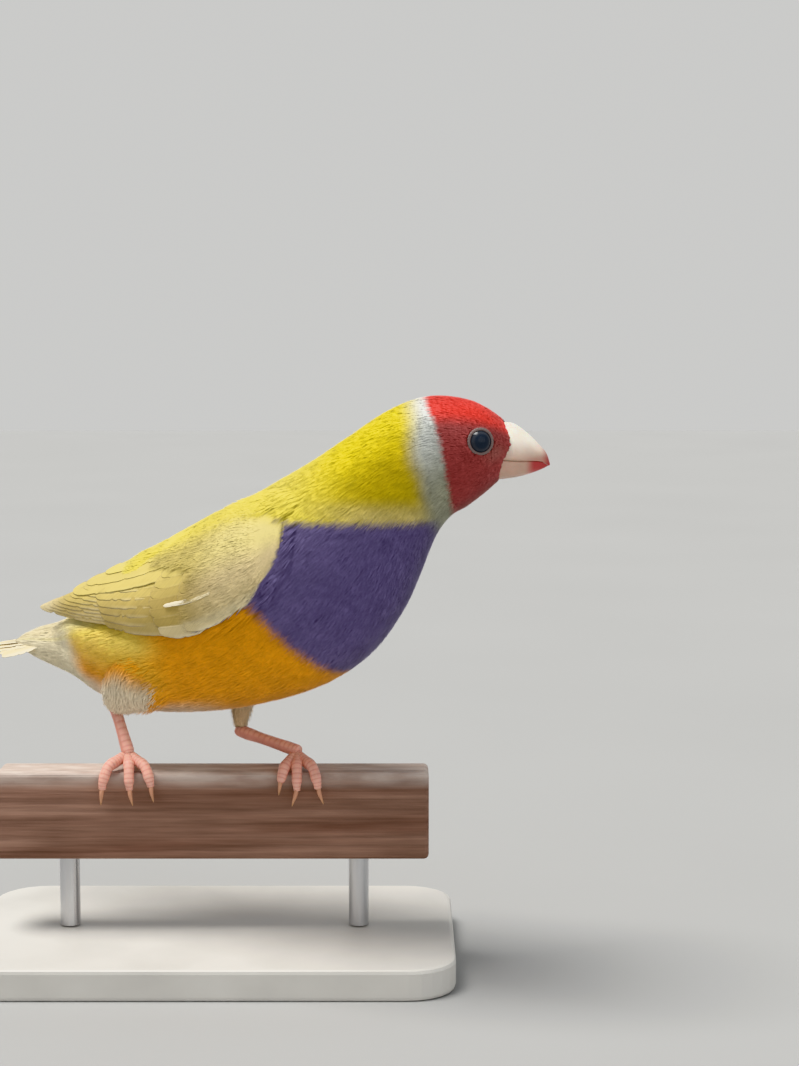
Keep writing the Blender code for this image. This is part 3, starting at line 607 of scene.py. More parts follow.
def wing_colour(back, across):
    """The colour of the folded wing: bright yellow on top, duller lower down, cream at its low edge."""
    rear, top_rear = ease(back, -14.0, -1.0), ease(back, 2.0, 16.0)
    # Lighter on top and darker low down: partly the wing's own colours, partly painted light from above and
    # painted shade
    colour = mix(mix(WING_LOW, WING_SHADE, rear), mix(WING_BEND, WING_YELLOW, rear), ease(across, 0.28, 0.62))
    colour = mix(colour, mix(BACK, WING_TOP, top_rear), ease(across, 0.66, 0.95))
    colour = mix(colour, CREAM, ease(back, 29.0, 38.0) * 0.6)
    colour = mix(colour, CREAM, ease(0.12 - across, 0.0, 0.1) * 0.7)
    breast = (0.1 + 0.2 * ease(-back, 23.0, 24.6)) * ease(-back, 18.0, 21.0)
    return mix(colour, VIOLET, ease(breast - across, 0.0, 0.03))


# Tufts: each small feather is a fan of thin, tapered strands from one root


def strands(rng, surface, a, b, angle, length, half_width, low, high, colour, root_uv, steps):
    """Strands that rise from low to high along the surface: points, faces, colours, map and normals."""
    _, along, across, _ = frame_of(surface, a, b, low)
    along_size = np.linalg.norm(along, axis=-1)
    ahead = along / along_size[:, None]
    slip = (across * ahead).sum(-1)
    square = np.sqrt(np.maximum((across**2).sum(-1) - slip**2, 1e-9))
    db = length * np.sin(angle) / square
    da = (length * np.cos(angle) - db * slip) / along_size
    shares = np.array([*steps, 1.0])
    centres, ways = [], []
    for f in shares:
        rise = low + (high - low) * (1 - (1 - f) ** 2.2)
        here, _, _, out = frame_of(surface, a + da * f, b + db * f, rise)
        centres.append(here)
        ways.append(out)
    centres, ways = np.stack(centres, 1), np.stack(ways, 1)
    course = unit(np.gradient(centres, axis=1))
    side = unit(np.cross(ways, course))
    width = half_width[:, None] * np.interp(shares, (0.0, 0.35, 0.75, 1.0), (0.6, 1.0, 0.7, 0.0))
    ridge = 0.3 * width
    count = len(steps)
    left = centres[:, :count] - side[:, :count] * width[:, :count, None]
    right = centres[:, :count] + side[:, :count] * width[:, :count, None]
    top = centres[:, :count] + ways[:, :count] * ridge[:, :count, None]
    rings = np.stack([left, right, top], 2).reshape(len(a), -1, 3)
    points = np.concatenate([rings, centres[:, count:]], 1)
    tilt = rng.normal(0, 0.07, (len(a), 1, 1)) * side + rng.normal(0, 0.07, (len(a), 1, 1)) * course
    soft = ways + tilt
    round_about = side[:, :count] * 0.3
    normals = np.stack([soft[:, :count] - round_about, soft[:, :count] + round_about, soft[:, :count]], 2)
    normals = unit(np.concatenate([normals.reshape(len(a), -1, 3), soft[:, count:]], 1))
    quads, fans = [], [(0, 2, 1)]
    for i in range(count - 1):
        L, R, T = 3 * i, 3 * i + 1, 3 * i + 2
        quads += [(L, R, R + 3, L + 3), (R, T, T + 3, R + 3), (T, L, L + 3, T + 3)]
    L, R, T, tip = 3 * count - 3, 3 * count - 2, 3 * count - 1, 3 * count
    fans += [(L, R, tip), (R, T, tip), (T, L, tip)]
    shift = (np.arange(len(a)) * (tip + 1))[:, None, None]
    quads = (np.array(quads)[None] + shift).reshape(-1, 4)
    fans = (np.array(fans)[None] + shift).reshape(-1, 3)
    # Roots darker and tips a little lighter: painted shade deep in the coat and painted light at the tips
    shade = np.concatenate([np.repeat(np.interp(steps, (0, 0.5), (0.86, 1.0)), 3), [1.03]])
    colour = np.concatenate([np.repeat(colour[:, :count], 3, axis=1), colour[:, count:]], 1)
    tint = (colour * shade[:, None]).reshape(-1, 3)
    down = np.concatenate([np.repeat(steps, 3), [1.0]]) - 0.5
    wide = np.concatenate([np.tile((-0.5, 0.5, 0.0), count), [0.0]])
    patch = np.stack([down, wide], -1) * TUFT_PATCH
    uv = (root_uv[:, None] + patch[None]).reshape(-1, 2)
    return points.reshape(-1, 3), [quads, fans], tint, uv, normals.reshape(-1, 3)


TUFT_PATCH = 0.003


def fans_of(rng, surface, a, b, angle, size, colour_at, uv_at):
    """Strands for tufts rooted at a, b. size holds their number, length, spread, scatter, width and lifts."""
    n, k = len(a), size["strands"]
    place_in = np.linspace(-1, 1, k)[None] + rng.normal(0, 0.12, (n, k))
    length = size["length"][:, None] * (1 - 0.2 * place_in**2) * rng.normal(1, 0.07, (n, k))
    turn = angle[:, None] + rng.normal(0, 0.04, (n, 1)) + place_in * size["spread"]
    low = np.repeat(size["low"][:, None], k, 1)
    high = size["high"][:, None] + rng.normal(0, size.get("ruffle", 0.035), (n, k)) - 0.05 * place_in**2
    half = size["half_width"][:, None] * rng.normal(1, 0.1, (n, k))
    tone = rng.normal(1, 0.022, (n, 1)) * rng.normal(1, 0.02, (n, k))
    a_all, b_all = np.repeat(a, k), np.repeat(b, k)
    _, along, across, _ = frame_of(surface, a_all, b_all, low.ravel())
    along_size, across_size = np.linalg.norm(along, axis=-1), np.linalg.norm(across, axis=-1)
    b_all = b_all + (place_in * size["scatter"][:, None]).ravel() / across_size
    a_all = a_all + (rng.uniform(-0.5, 0.5, (n, k)) * size["scatter"][:, None]).ravel() / along_size
    steps = size.get("steps", (0.0, 0.42))
    reach = length.reshape(-1, 1) * np.clip((*steps, 1.0), 0.25, 0.9)
    seen_a = a_all[:, None] + reach * np.cos(turn.reshape(-1, 1)) / along_size[:, None]
    seen_b = b_all[:, None] + reach * np.sin(turn.reshape(-1, 1)) / across_size[:, None]
    colour = colour_at(seen_a.ravel(), seen_b.ravel()).reshape(*reach.shape, 3) * tone.reshape(-1, 1, 1)
    course = (values.ravel() for values in (turn, length, half, low, high))
    return strands(rng, surface, a_all, b_all, *course, colour, np.repeat(uv_at(a, b), k, 0), steps)


def rooted_rows(rng, surface, a_start, a_end, b_start, b_end, spacing_at, closed):
    """Roots in staggered rows across a surface, about spacing_at(a) apart."""
    found_a, found_b = [], []
    a, odd = a_start, False
    b_fine = np.linspace(b_start, b_end, 241)
    while a < a_end:
        line = surface(np.full(241, a), b_fine, np.zeros(241))
        next_line = surface(np.full(241, a + 0.02), b_fine, np.zeros(241))
        speed = float(np.linalg.norm(next_line - line, axis=1).mean()) / 0.02
        run = np.concatenate([[0], np.cumsum(np.linalg.norm(np.diff(line, axis=0), axis=1))])
        spacing = float(spacing_at(a))
        count = max(3, round(run[-1] / spacing))
        step = run[-1] / count
        spots = (np.arange(count) + (0.5 if odd else 0.0) + (0 if closed else 0.25)) * step
        spots = spots + rng.normal(0, 0.16, count) * step
        b = np.interp(np.mod(spots, run[-1]) if closed else np.clip(spots, 0, run[-1]), run, b_fine)
        found_a.append(a + rng.normal(0, 0.16, count) * spacing / speed)
        found_b.append(b)
        a += 0.87 * spacing / speed
        odd = not odd
    return np.concatenate(found_a), np.concatenate(found_b)


def body_uv(t, turn):
    """The bake map's unwrap of the body: along it and round it."""
    share = np.mod(turn, 2 * np.pi) / (2 * np.pi)
    return np.stack([0.01 + 0.7 * (t + 1) / (LAST_SECTION + 1), 0.01 + 0.98 * share], -1)


# The small feathers by the body's sections, in millimetres
SECTIONS = (-1.0, 0.0, 2.0, 4.0, 7.0, 12.0, 15.0, 18.0)
TUFT_SPACING = (0.45, 0.5, 0.62, 0.85, 1.15, 1.4, 1.3, 1.3)
TUFT_LENGTH = (0.9, 1.1, 1.9, 2.7, 3.8, 4.8, 5.4, 6.5)
COAT_DEPTH = (0.22, 0.3, 0.45, 0.7, 0.95, 1.0, 0.9, 0.6)
STRAND_HALF_WIDTH = (0.07, 0.075, 0.09, 0.11, 0.135, 0.16, 0.16, 0.16)


def by_section(t, table):
    return np.interp(t, SECTIONS, table)


def eye_frames():
    """Each eye's centre and the way it looks."""
    found = {}
    for name, side in (("left", 1), ("right", -1)):
        u, v, h = EYE_PLACE
        look_u, look_v, look_h = EYE_LOOKS
        axis = place((60 + look_u, look_v * side, 60 + look_h)) - place((60, 0, 60))
        found[name] = (place((u, v * side, h)), axis / np.linalg.norm(axis))
    return found


EYES = eye_frames()


# No feather is rooted this near an eye's middle, and from here to there the feathers bend round it
BARE_ROUND_EYE = 2.42
FLOW_REACH, FLOW_WIDTH = 5.6, 2.4


def flow_round_eyes(t, turn, angle, length):
    """Bends the lie of the face feathers round the eyes. Gives the angles, lengths and which roots stay."""
    point, along, across, _ = frame_of(body, t, turn, np.zeros(len(t)))
    ahead = unit(along)
    beside = unit(across - ahead * (across * ahead).sum(-1, keepdims=True))
    keep = np.ones(len(t), bool)
    for centre, axis in EYES.values():
        away = point - (centre + axis * LID_HEIGHT)
        depth = away @ axis
        flat_away = away - depth[:, None] * axis
        distance = np.linalg.norm(flat_away, axis=1)
        near = abs(depth) < 4.0
        keep &= ~(near & (distance < BARE_ROUND_EYE))
        r = unit(flat_away)
        way = ahead * np.cos(angle)[:, None] + beside * np.sin(angle)[:, None]
        towards = np.minimum((way * r).sum(-1), 0.0)
        weight = np.where(near, np.clip((FLOW_REACH - distance) / FLOW_WIDTH, 0, 1), 0.0)
        way = unit(way - r * (towards * weight * 1.1)[:, None])
        angle = np.arctan2((way * beside).sum(-1), (way * ahead).sum(-1))
        length = length * (1 - 0.35 * weight)
    return angle, length, keep


def wing_over(t, turn):
    """How far a folded wing stands out over places of the body, and where across the wing that is."""
    flat = body_flat(t, turn, np.zeros(len(t)))
    out = unit((body_flat(t, turn, np.full(len(t), 0.5)) - flat)[:, 1:])
    u, v, h = flat.T
    out = out * np.stack([np.sign(v), np.ones(len(v))], -1)
    lift, across, aside = np.zeros(len(t)), np.zeros(len(t)), np.full(len(t), 99.0)
    for q in np.linspace(0.0, 1.0, 41):
        wing = wing_flat(-u, np.full(len(u), q), np.maximum(cover_out(-u, np.full(len(u), q)) + 0.3, 0.6), 1)
        away = wing[:, 1:] - np.stack([abs(v), h], -1)
        rise = (away * out).sum(-1)
        beside = np.linalg.norm(away - rise[:, None] * out, axis=-1)
        nearer = beside < aside
        lift[nearer], across[nearer], aside[nearer] = rise[nearer], q, beside[nearer]
    reach = (1 - ease(aside, 0.2, 3.4)) * (1 - ease(u, 24.5, 26.0))
    most = np.where(across > 0.5, 2.6 * ease(u, -9.0, -3.0), 1.3 * ease(u, 2.0, 9.0))
    most = np.where(across < 0.8, most * (1 - 0.45 * ease(u, 18.0, 22.0)), most)
    return np.clip(lift, 0, most) * reach, across, (aside < 0.4) & (u < 24.6) & (u > -30.0)


def may_cover_wing(t, turn, across):
    """Where the body's feathers lie over the folded wing: along its top, its bend and the flank's edge."""
    u = body_flat(t, turn, np.zeros(len(t)))[:, 0]
    bend = u > 22.8 + 1.6 * ease(across, 0.1, 0.45)
    return ((across > 0.8) & (u > -12.0)) | bend | (across < 0.14 * ease(7.0 - u, 0.0, 7.0))


def body_coat(name, rng, finish, slot, start, end, count, above=-1.0, below=1.0):
    """The tufts of one length of the body, between two heights round it (sines of the turn)."""

    def colour_at(a, b):
        return plumage(a, b, body_flat(a, b, 0 * a))

    def spacing_at(a):
        return by_section(a, TUFT_SPACING)

    t, turn = rooted_rows(rng, coat_body, start, end, 0.0, 2 * np.pi, spacing_at, True)
    t = np.maximum(t, -0.96)
    keep = (np.sin(turn) >= above) & (np.sin(turn) < below) & (t > face_edge(turn) + 0.04)
    t, turn = t[keep], turn[keep]
    angle = -0.10 * np.cos(turn) * ease(t, 4.0, 8.0)
    angle, length, keep = flow_round_eyes(t, turn, angle, by_section(t, TUFT_LENGTH))
    t, turn, angle, length = t[keep], turn[keep], angle[keep], length[keep]
    low, high = -by_section(t, COAT_DEPTH) - 0.05, 0.02 + 0 * t
    if end > 6.0:
        _, along, _, _ = frame_of(body, t, turn, low)
        end_t = np.minimum(t + 0.85 * length / np.linalg.norm(along, axis=-1), LAST_SECTION)
        root_lift, root_across, root_under = wing_over(t, turn)
        end_lift, end_across, end_under = wing_over(end_t, turn)
        root_swell = swell(t, turn)
        root_lift = np.maximum(root_lift - root_swell, 0)
        end_lift = np.maximum(end_lift - swell(end_t, turn), 0)
        root_over = ~root_under | may_cover_wing(t, turn, root_across)
        end_over = ~end_under | may_cover_wing(end_t, turn, end_across)
        low = low + np.where(root_over, root_lift, 0)
        high = high + np.where(root_over & end_over, np.maximum(end_lift, root_lift * 0.6), 0)
        high = high + over_thighs(body(end_t, turn, 0 * t))
        high = high - 1.1 * ease(t, 15.8, 17.6) * ease(np.sin(turn), -0.2, 0.5)
        keep = root_over | (root_swell > 0.3)
        t, turn, angle, length, low, high = (values[keep] for values in (t, turn, angle, length, low, high))
    size = {
        "strands": count, "length": length, "spread": 0.2,
        "scatter": 0.36 * by_section(t, TUFT_SPACING),
        "low": low, "high": high,
        "ruffle": 0.035 if end < 12.0 else 0.07,
        "half_width": by_section(t, STRAND_HALF_WIDTH),
    }
    add_tufts(name, finish, slot, fans_of(rng, coat_body, t, turn, angle, size, colour_at, body_uv))


def over_thighs(points):
    """How far the thighs stand out at points of the body, whose feathers hang over their tops."""
    found = np.zeros(len(points))
    for tube in THIGHS.values():
        for a in np.linspace(0.0, 0.6, 13):
            centre, radius = tube.line(tube.centre, a), np.interp(a, tube.steps, tube.radius)
            found = np.maximum(found, np.minimum(radius + 0.1 - np.linalg.norm(points - centre, axis=1), 2.2))
    return found


def add_tufts(name, finish, slot, made):
    points, faces, colour, uv, normals = made
    add_piece(new_mesh(name, points, faces, finish, colour, uv, normals), slot)


# The skin under the coat

SKIN_VOXEL = 0.45
THIGH_COAT_DEPTH = 0.55
# The fold round each eye: where it lies, how far below the ring it starts, how far it falls, how dark its
# painted shade is
FOLD_FROM, FOLD_TO = 2.1, 3.8
FOLD_BELOW_LID, FOLD_FALL, FOLD_SHADE = 0.3, 1.6, 0.7


def apply_modifier(obj, modifier):
    with bpy.context.temp_override(object=obj, active_object=obj, selected_objects=[obj]):
        bpy.ops.object.modifier_apply(modifier=modifier.name)


def make_skin(finish):
    """One skin over body, thighs and tail root, inside the coat."""
    t = np.concatenate([np.linspace(-0.9, 0.2, 8), np.linspace(0.4, LAST_SECTION, 110)])
    T, A = grid(t, 72)
    T = np.maximum(T, face_edge(A) + 0.05)
    rings = coat_body(T, A, -by_section(T, COAT_DEPTH))
    parts = [loft(rings)]
    for thigh in THIGHS.values():
        a, b = grid(np.linspace(0, 1, 40), 32)
        parts.append(loft(thigh(a, b, np.full(a.shape, -THIGH_COAT_DEPTH))))
    skin = new_mesh("skin", *joined(parts), finish)
    remesh = skin.modifiers.new("one surface", "REMESH")
    remesh.mode = "VOXEL"
    remesh.voxel_size = SKIN_VOXEL * MM
    remesh.use_smooth_shade = True
    apply_modifier(skin, remesh)
    even = skin.modifiers.new("even", "SMOOTH")
    even.factor, even.iterations = 0.5, 4
    apply_modifier(skin, even)
    mesh = skin.data
    co = np.empty(len(mesh.vertices) * 3, np.float32)
    mesh.vertices.foreach_get("co", co)
    points = co.reshape(-1, 3).astype(float) / MM
    bare = np.ones(len(points))
    for centre, axis in EYES.values():
        away = points - centre
        depth = away @ axis
        distance = np.linalg.norm(away - depth[:, None] * axis, axis=1)
        fold = LID_HEIGHT - FOLD_BELOW_LID - FOLD_FALL * ease(distance, 2.4, 3.6)
        near = (distance > FOLD_FROM) & (distance < FOLD_TO) & (depth > -1.0)
        points += axis * np.where(near, np.maximum(fold - depth, 0), 0)[:, None]
        # The raised fold round the eye is darkened: painted shade
        bare[near & (fold > depth)] = FOLD_SHADE
    mesh.vertices.foreach_set("co", (points * MM).astype(np.float32).ravel())
    colour = skin_colours(points) * bare[:, None]
    made = mesh.color_attributes.new("plumage", "FLOAT_COLOR", "POINT")
    rgba = np.concatenate([colour, np.ones((len(points), 1))], 1)
    made.data.foreach_set("color", rgba.astype(np.float32).ravel())
    return add_piece(skin, "purple_feathers", "head", "neck", "torso", "thigh_left", "thigh_right")


def skin_colours(points):
    """The plumage's colours at points of the skin, by the nearest place on the body's own surface."""
    T, A = grid(np.linspace(-1, LAST_SECTION, 180), 90)
    T, A = T.ravel(), A.ravel()
    flat = body_flat(T, A, np.full(T.shape, -0.7))
    spots = place(flat)
    tree = KDTree(len(spots))
    for i, spot in enumerate(spots):
        tree.insert(spot, i)
    tree.balance()
    nearest = np.array([tree.find(p)[1] for p in points])
    # A tenth darker than the plumage: painted shade for the skin seen between the feathers
    return plumage(T, A, flat)[nearest] * 0.9


# Thighs


THIGH_UPPER = (1.0, -0.4, 0.6)
THIGHS = {name: Tube(on_perch(leg["thigh"]), leg["thigh_radii"], THIGH_UPPER) for name, leg in LEGS.items()}
ORANGE_FROM, DOWN_TO = 20.4, 16.0


def thigh_colour(tube, a, b, down):
    """Down low on the thigh, orange where it meets the flank."""
    height = tube(a, b, 0 * a)[..., 2] - PERCH_TOP + 0.7 * np.sin(3 * b)
    return mix(down, ORANGE, ease(height, DOWN_TO, ORANGE_FROM))


def thigh_coat(name, rng, finish, tube, down, corner):
    a, b = rooted_rows(rng, tube, 0.25, 0.97, 0.0, 2 * np.pi, lambda a: 1.0 - 0.3 * a, True)
    size = {
        "strands": 9,
        "length": 4.6 - 2.3 * a,
        "spread": 0.32,
        "scatter": 0.34 * (1.0 - 0.3 * a),
        "low": np.full(len(a), -THIGH_COAT_DEPTH),
        "high": 0.45 - 0.35 * a,
        "ruffle": 0.3,
        "half_width": 0.115 - 0.035 * a,
    }

    def uv_at(a, b):
        return np.stack([corner[0] + 0.2 * a, corner[1] + 0.3 * np.mod(b, 2 * np.pi) / (2 * np.pi)], -1)

    made = fans_of(rng, tube, a, b, 0 * a, size, lambda a, b: thigh_colour(tube, a, b, down), uv_at)
    add_tufts(name, finish, "cream_feathers", made)


# Vanes: flight, tail and covert feathers, each a thin closed blade with its shaft


ACROSS = np.array((-1.0, -0.86, -0.62, -0.36, -0.14, -0.05, 0.0, 0.05, 0.14, 0.36, 0.62, 0.86, 1.0))
UNDER = np.array((0.7, 0.3, 0.0, -0.3, -0.7))
OVERLAP_TILT = 0.09
SHAFT_RISE, VANE_THICKNESS = 0.05, 0.12
SPLIT_WIDTH, ROUND_TIP = 0.014, 0.09
MAP_COLUMNS = 12


def vane_rings(rng, at, width, pointed, rings, camber=0.12, splits=2):
    """The rings of one feather. at(f, x, lift) gives points f along it, x across it and lifted off it."""
    f = 1 - (1 - np.linspace(0, 1, rings)) ** 1.25
    taper = np.where(f < 0.55, 1.0, 1.0 - (1.0 - pointed) * np.clip((f - 0.55) / 0.45, 0, 1) ** 1.7)
    half = width / 2 * taper * np.interp(f, (0, 0.25), (0.6, 1.0))
    left = (1.0 - f) / ROUND_TIP
    half = half * np.sqrt(np.clip(left * (2 - left), 0.02, 1)) ** np.where(left < 1, 1, 0)
    edges = []
    for _ in range(2):
        edge = half * (1 + rng.normal(0, 0.012, rings))
        for _ in range(splits):
            middle, deep = rng.uniform(0.35, 0.93), rng.uniform(0.08, 0.26)
            edge = edge * (1 - deep * np.exp(-(((f - middle) / SPLIT_WIDTH) ** 2)))
        edges.append(edge)
    x = np.concatenate([ACROSS, UNDER])
    wide = np.where(x < 0, edges[0][:, None], edges[1][:, None]) * x
    top = camber * (1 - ACROSS**2) + SHAFT_RISE * np.exp(-((ACROSS / 0.075) ** 2)) * (1 - 0.7 * f[:, None])
    below = camber * (1 - UNDER**2) - VANE_THICKNESS * (1 - UNDER**2) * (1 - 0.5 * f[:, None]) - 0.02
    lift = np.concatenate([top, below], 1) * np.clip((half / half.max()) ** 0.5, 0.2, 1)[:, None]
    F = np.repeat(f[:, None], len(x), 1)
    return at(F, wide, lift), F, wide


def vanes(rng, feathers):
    """Points, faces, colours, bake map and grain of feathers, each a dict with its form for vane_rings."""
    forms = []
    for i, feather in enumerate(feathers):
        half = feather["form"]["width"] / 2
        rings, F, wide = vane_rings(rng, **feather["form"])
        rim = ease(np.clip(abs(wide) / half, 0, 1), 0.7, 1.0) * feather["rim_share"]
        colour = mix(feather["colour_at"](F, wide), feather["rim"], rim)
        colour = colour * (1 - 0.1 * np.exp(-((wide / 0.12) ** 2)))[..., None] * rng.normal(1, 0.02)
        grain = np.stack([wide, F * feather["length"], np.full(wide.shape, i * 3.7)], -1)
        row, column = divmod(i, MAP_COLUMNS)
        cell = 0.98 / MAP_COLUMNS
        uv_x = 0.01 + cell * (column + 0.5 + 0.42 * wide / half)
        uv_y = 0.01 + cell * (row + 0.05 + 0.88 * F)
        values = (with_ends(v) for v in (colour, np.stack([uv_x, uv_y], -1), grain))
        forms.append((*loft(rings), *values))
    return joined(forms)


def wing_feather(side, root, tip, width, pointed, rings, rim, rim_share, **more):
    """A feather on the folded wing, from root to tip as (u, across, out), its low edge over the one below."""
    surface = wing_surface(side)
    root, tip = np.array(root, float), np.array(tip, float)

    def at(F, x, lift):
        u, across, out = (root[i] + (tip[i] - root[i]) * F for i in range(3))
        step = 0.01
        ahead, behind = surface(-u, across + step, out), surface(-u, across - step, out)
        wide = np.linalg.norm(ahead - behind, axis=-1) / (2 * step)
        return surface(-u, across + x / wide, out + lift - OVERLAP_TILT * x / (width / 2))

    def colour_at(F, x):
        return wing_colour(-root[0] - (tip[0] - root[0]) * F, root[1] + (tip[1] - root[1]) * F)

    return {
        "form": {"at": at, "width": width, "pointed": pointed, "rings": rings, **more},
        "length": float(abs(root[0] - tip[0])),
        "colour_at": colour_at,
        "rim": rim,
        "rim_share": rim_share,
    }


def flight_feathers(side):
    """Primaries, then secondaries, then tertials, each over the one before."""
    found = []
    for i in range(9):
        share = i / 8
        root = (-6.0 + 2 * share, 0.13 + 0.3 * share, -0.1)
        tip = (-39.4 + 13.4 * share**1.12, 0.2 + 0.42 * share, 0.16 + 0.09 * i)
        found.append(wing_feather(side, root, tip, 3.7, 0.42, 46, CREAM, 0.55, splits=3))
    for i in range(6):
        share = i / 5
        root = (4.0, 0.08 + 0.44 * share, 0.0)
        tip = (-17.5 - 4.5 * share, 0.12 + 0.46 * share, 0.3 + 0.09 * i)
        found.append(wing_feather(side, root, tip, 5.0, 0.72, 40, CREAM, 0.45, splits=3))
    for i, (tip_u, across) in enumerate(((-29.0, 0.6), (-26.0, 0.72), (-22.0, 0.84), (-16.5, 0.93))):
        root = (8.0, across + 0.02, 0.3)
        tip = (tip_u, across, 0.8 + 0.09 * i)
        found.append(wing_feather(side, root, tip, 6.2, 0.6, 40, PALE, 0.3, splits=3))
    return found


def covert_feathers(side):
    """Two tiers of coverts from the low edge up, then the pale streak across them, its white partly a painted
    highlight.
    """
    found = []
    tiers = (
        (8, (10.5, 0.05, 0.66), (-2.4, 2.6), 0.4, 0.66, 4.8, 0.55),
        (8, (14.5, 0.06, 0.62), (4.0, 1.6), 0.42, 0.84, 4.4, 0.6),
    )
    for count, (root_u, low, high), (tip_u, bow), out_root, out_tip, width, pointed in tiers:
        for i in range(count):
            share = i / (count - 1)
            across = low + (high - low) * share
            bend = np.sin(np.pi * share)
            root = (root_u - bow * 0.4 * bend, across, out_root)
            tip = (tip_u - bow * bend, across, out_tip)
            rim_share = 0.7 if share < 0.35 else 0.15
            form = (width, pointed, 26, WHITE, rim_share)
            found.append(wing_feather(side, root, tip, *form, splits=1, camber=0.1))
    # The streak is a pale feather edge whose white is partly a painted highlight
    root, tip = (10.5, 0.235, 1.22), (-0.8, 0.245, 1.0)
    streak = wing_feather(side, root, tip, 1.0, 0.7, 26, WHITE, 0.5, splits=3, camber=0.1)
    streak["colour_at"] = lambda F, x: mix(CREAM, WHITE, ease(F, 0.3, 0.6))
    found.append(streak)
    return found


def shoulder_rise(back):
    return np.sin(np.pi / 2 * np.clip((24.5 + back) / 9.0, 0, 1))


def shoulder_out(back, across):
    """How far the smooth shoulder stands out from the wing's sheet."""
    edge = np.clip(5.0 * np.minimum(across, 1.02 - across) + 0.15, 0.05, 1.0)
    return 0.05 + 0.9 * shoulder_rise(back) * edge * (1 - ease(back, -12.0, -6.0))


def cover_out(back, across):
    """How far the small feathers that cover the shoulder and its top stand out from the wing's sheet."""
    edge = np.clip(4.0 * (1.06 - across), 0.1, 1.0) * np.clip(5.0 * across + 0.25, 0.25, 1.0)
    cover = shoulder_rise(back) * edge * (0.95 - 0.3 * ease(back, -10.0, 5.0))
    return np.maximum(shoulder_out(back, across), cover)


def make_wing(name, side, rng, vane_finish, coat_finish):
    """The wing: a core, its flight feathers, its coverts in tiers and the small feathers of its shoulder."""
    surface = wing_surface(side)
    node_name = "wing_" + name
    back, across = np.meshgrid(np.linspace(-24.5, 24.0, 60), np.linspace(0.0, 1.0, 24), indexing="ij")
    across = 0.05 + 0.9 * across + ease(back, 0.0, 24.0) * (0.5 - across) * 0.3
    outer = surface(back, across, shoulder_out(back, across))
    inside = WING_CORE_INSIDE * (1 - ease(back, -6.0, 22.0)) - 0.12
    inner = surface(back, across, inside)[:, ::-1]
    colour = wing_colour(back, across)
    # The core is a tenth darker than the wing: painted shade under the feathers
    shade = with_ends(np.concatenate([colour, colour[:, ::-1]], 1)) * 0.9
    core = new_mesh(node_name + "_core", *loft(np.concatenate([outer, inner], 1)), coat_finish, shade)
    add_piece(core, "cream_feathers", node_name)
    for part, feathers in (("flight", flight_feathers(side)), ("coverts", covert_feathers(side))):
        points, faces, colour, uv, grain = vanes(rng, feathers)
        obj = new_mesh(f"{node_name}_{part}", points, faces, vane_finish, colour, uv, grain=grain)
        add_piece(obj, "cream_feathers")
    back, across = rooted_rows(rng, surface, -24.8, 10.0, 0.0, 1.02, lambda a: 1.0, False)
    end = -7.5 + 11.5 * ease(across, 0.45, 0.75) + 5.0 * ease(across, 0.78, 0.92)
    keep = back < end + rng.normal(0, 0.7, len(back))
    back, across = back[keep], across[keep]
    lift = cover_out(back, across)
    size = {
        "strands": 10,
        "length": 2.6 + 0.12 * (back + 24.6),
        "spread": 0.2,
        "scatter": 0.36 + 0 * back,
        "low": lift - 0.5,
        "high": lift + 0.42 - 0.3 * ease(-back, 19, 24.6),
        "half_width": 0.125 + 0 * back,
    }

    def uv_at(a, b):
        return np.stack([0.02 + 0.9 * (a + 25) / 70, 0.02 + 0.9 * b / 1.2], -1)

    made = fans_of(rng, surface, back, across, -0.05 + 0 * back, size, wing_colour, uv_at)
    add_tufts(node_name + "_shoulder", coat_finish, "cream_feathers", made)


def tail_feather(pair, side):
    root = np.array((TAIL_ROOT[0], 0.35 * side * (pair + 0.8), TAIL_ROOT[1] - 0.18 * pair))
    tip_h = TAIL_TIP_H + TAIL_TIP_RISE * min(pair, 1) - TAIL_DROP * pair
    tip = np.array((TAIL_TIP_U[pair], side * (0.45 + TAIL_FAN * pair), tip_h))
    roll = np.radians(TAIL_ROLL * pair + 3)
    across = np.array((0, np.cos(roll), -np.sin(roll) * side))
    out = np.array((0, np.sin(roll) * side, np.cos(roll)))

    def at(F, x, lift):
        wide = x * (0.3 + 0.7 * ease(F, 0.1, 0.6)) * side
        return place(root + (tip - root) * F[..., None] + across * wide[..., None] + out * lift[..., None])

    pointed = 0.14 if pair == 0 else 0.6
    return {
        "form": {"at": at, "width": TAIL_FEATHER_WIDTH, "pointed": pointed, "rings": 44, "splits": 3},
        "length": float(np.linalg.norm(tip - root)),
        "colour_at": lambda F, x: mix(CREAM, WHITE, ease(abs(x), 0.3, 1.2)),
        "rim": WHITE,
        "rim_share": 0.6,
    }


def make_tail(rng, finish):
    feathers = [tail_feather(pair, side) for pair in range(TAIL_PAIRS) for side in (1, -1)]
    points, faces, colour, uv, grain = vanes(rng, feathers)
    obj = new_mesh("tail_feathers", points, faces, finish, colour, uv, grain=grain)
    add_piece(obj, "cream_feathers", "tail")


# Eyes and bill


def beside(axis):
    """Two directions square to the axis and to each other."""
    side = np.cross(axis, (0.0, 0.0, 1.0))
    side /= np.linalg.norm(side)
    return side, np.cross(axis, side)


def eyeball(axis):
    """Rings of the ball from its front pole back, with a bulging front, and their tilt off the axis."""
    side, other = beside(axis)
    tilt = np.linspace(0.01, np.pi - 0.01, 40)[:, None]
    turn = np.linspace(0, 2 * np.pi, 48, endpoint=False)[None]
    way = (
        axis * np.cos(tilt)[..., None]
        + side * (np.sin(tilt) * np.cos(turn))[..., None]
        + other * (np.sin(tilt) * np.sin(turn))[..., None]
    )
    radius = EYE_RADIUS + 0.14 * np.exp(-((tilt / 0.62) ** 4))
    return way * radius[..., None], np.broadcast_to(tilt, way.shape[:2])


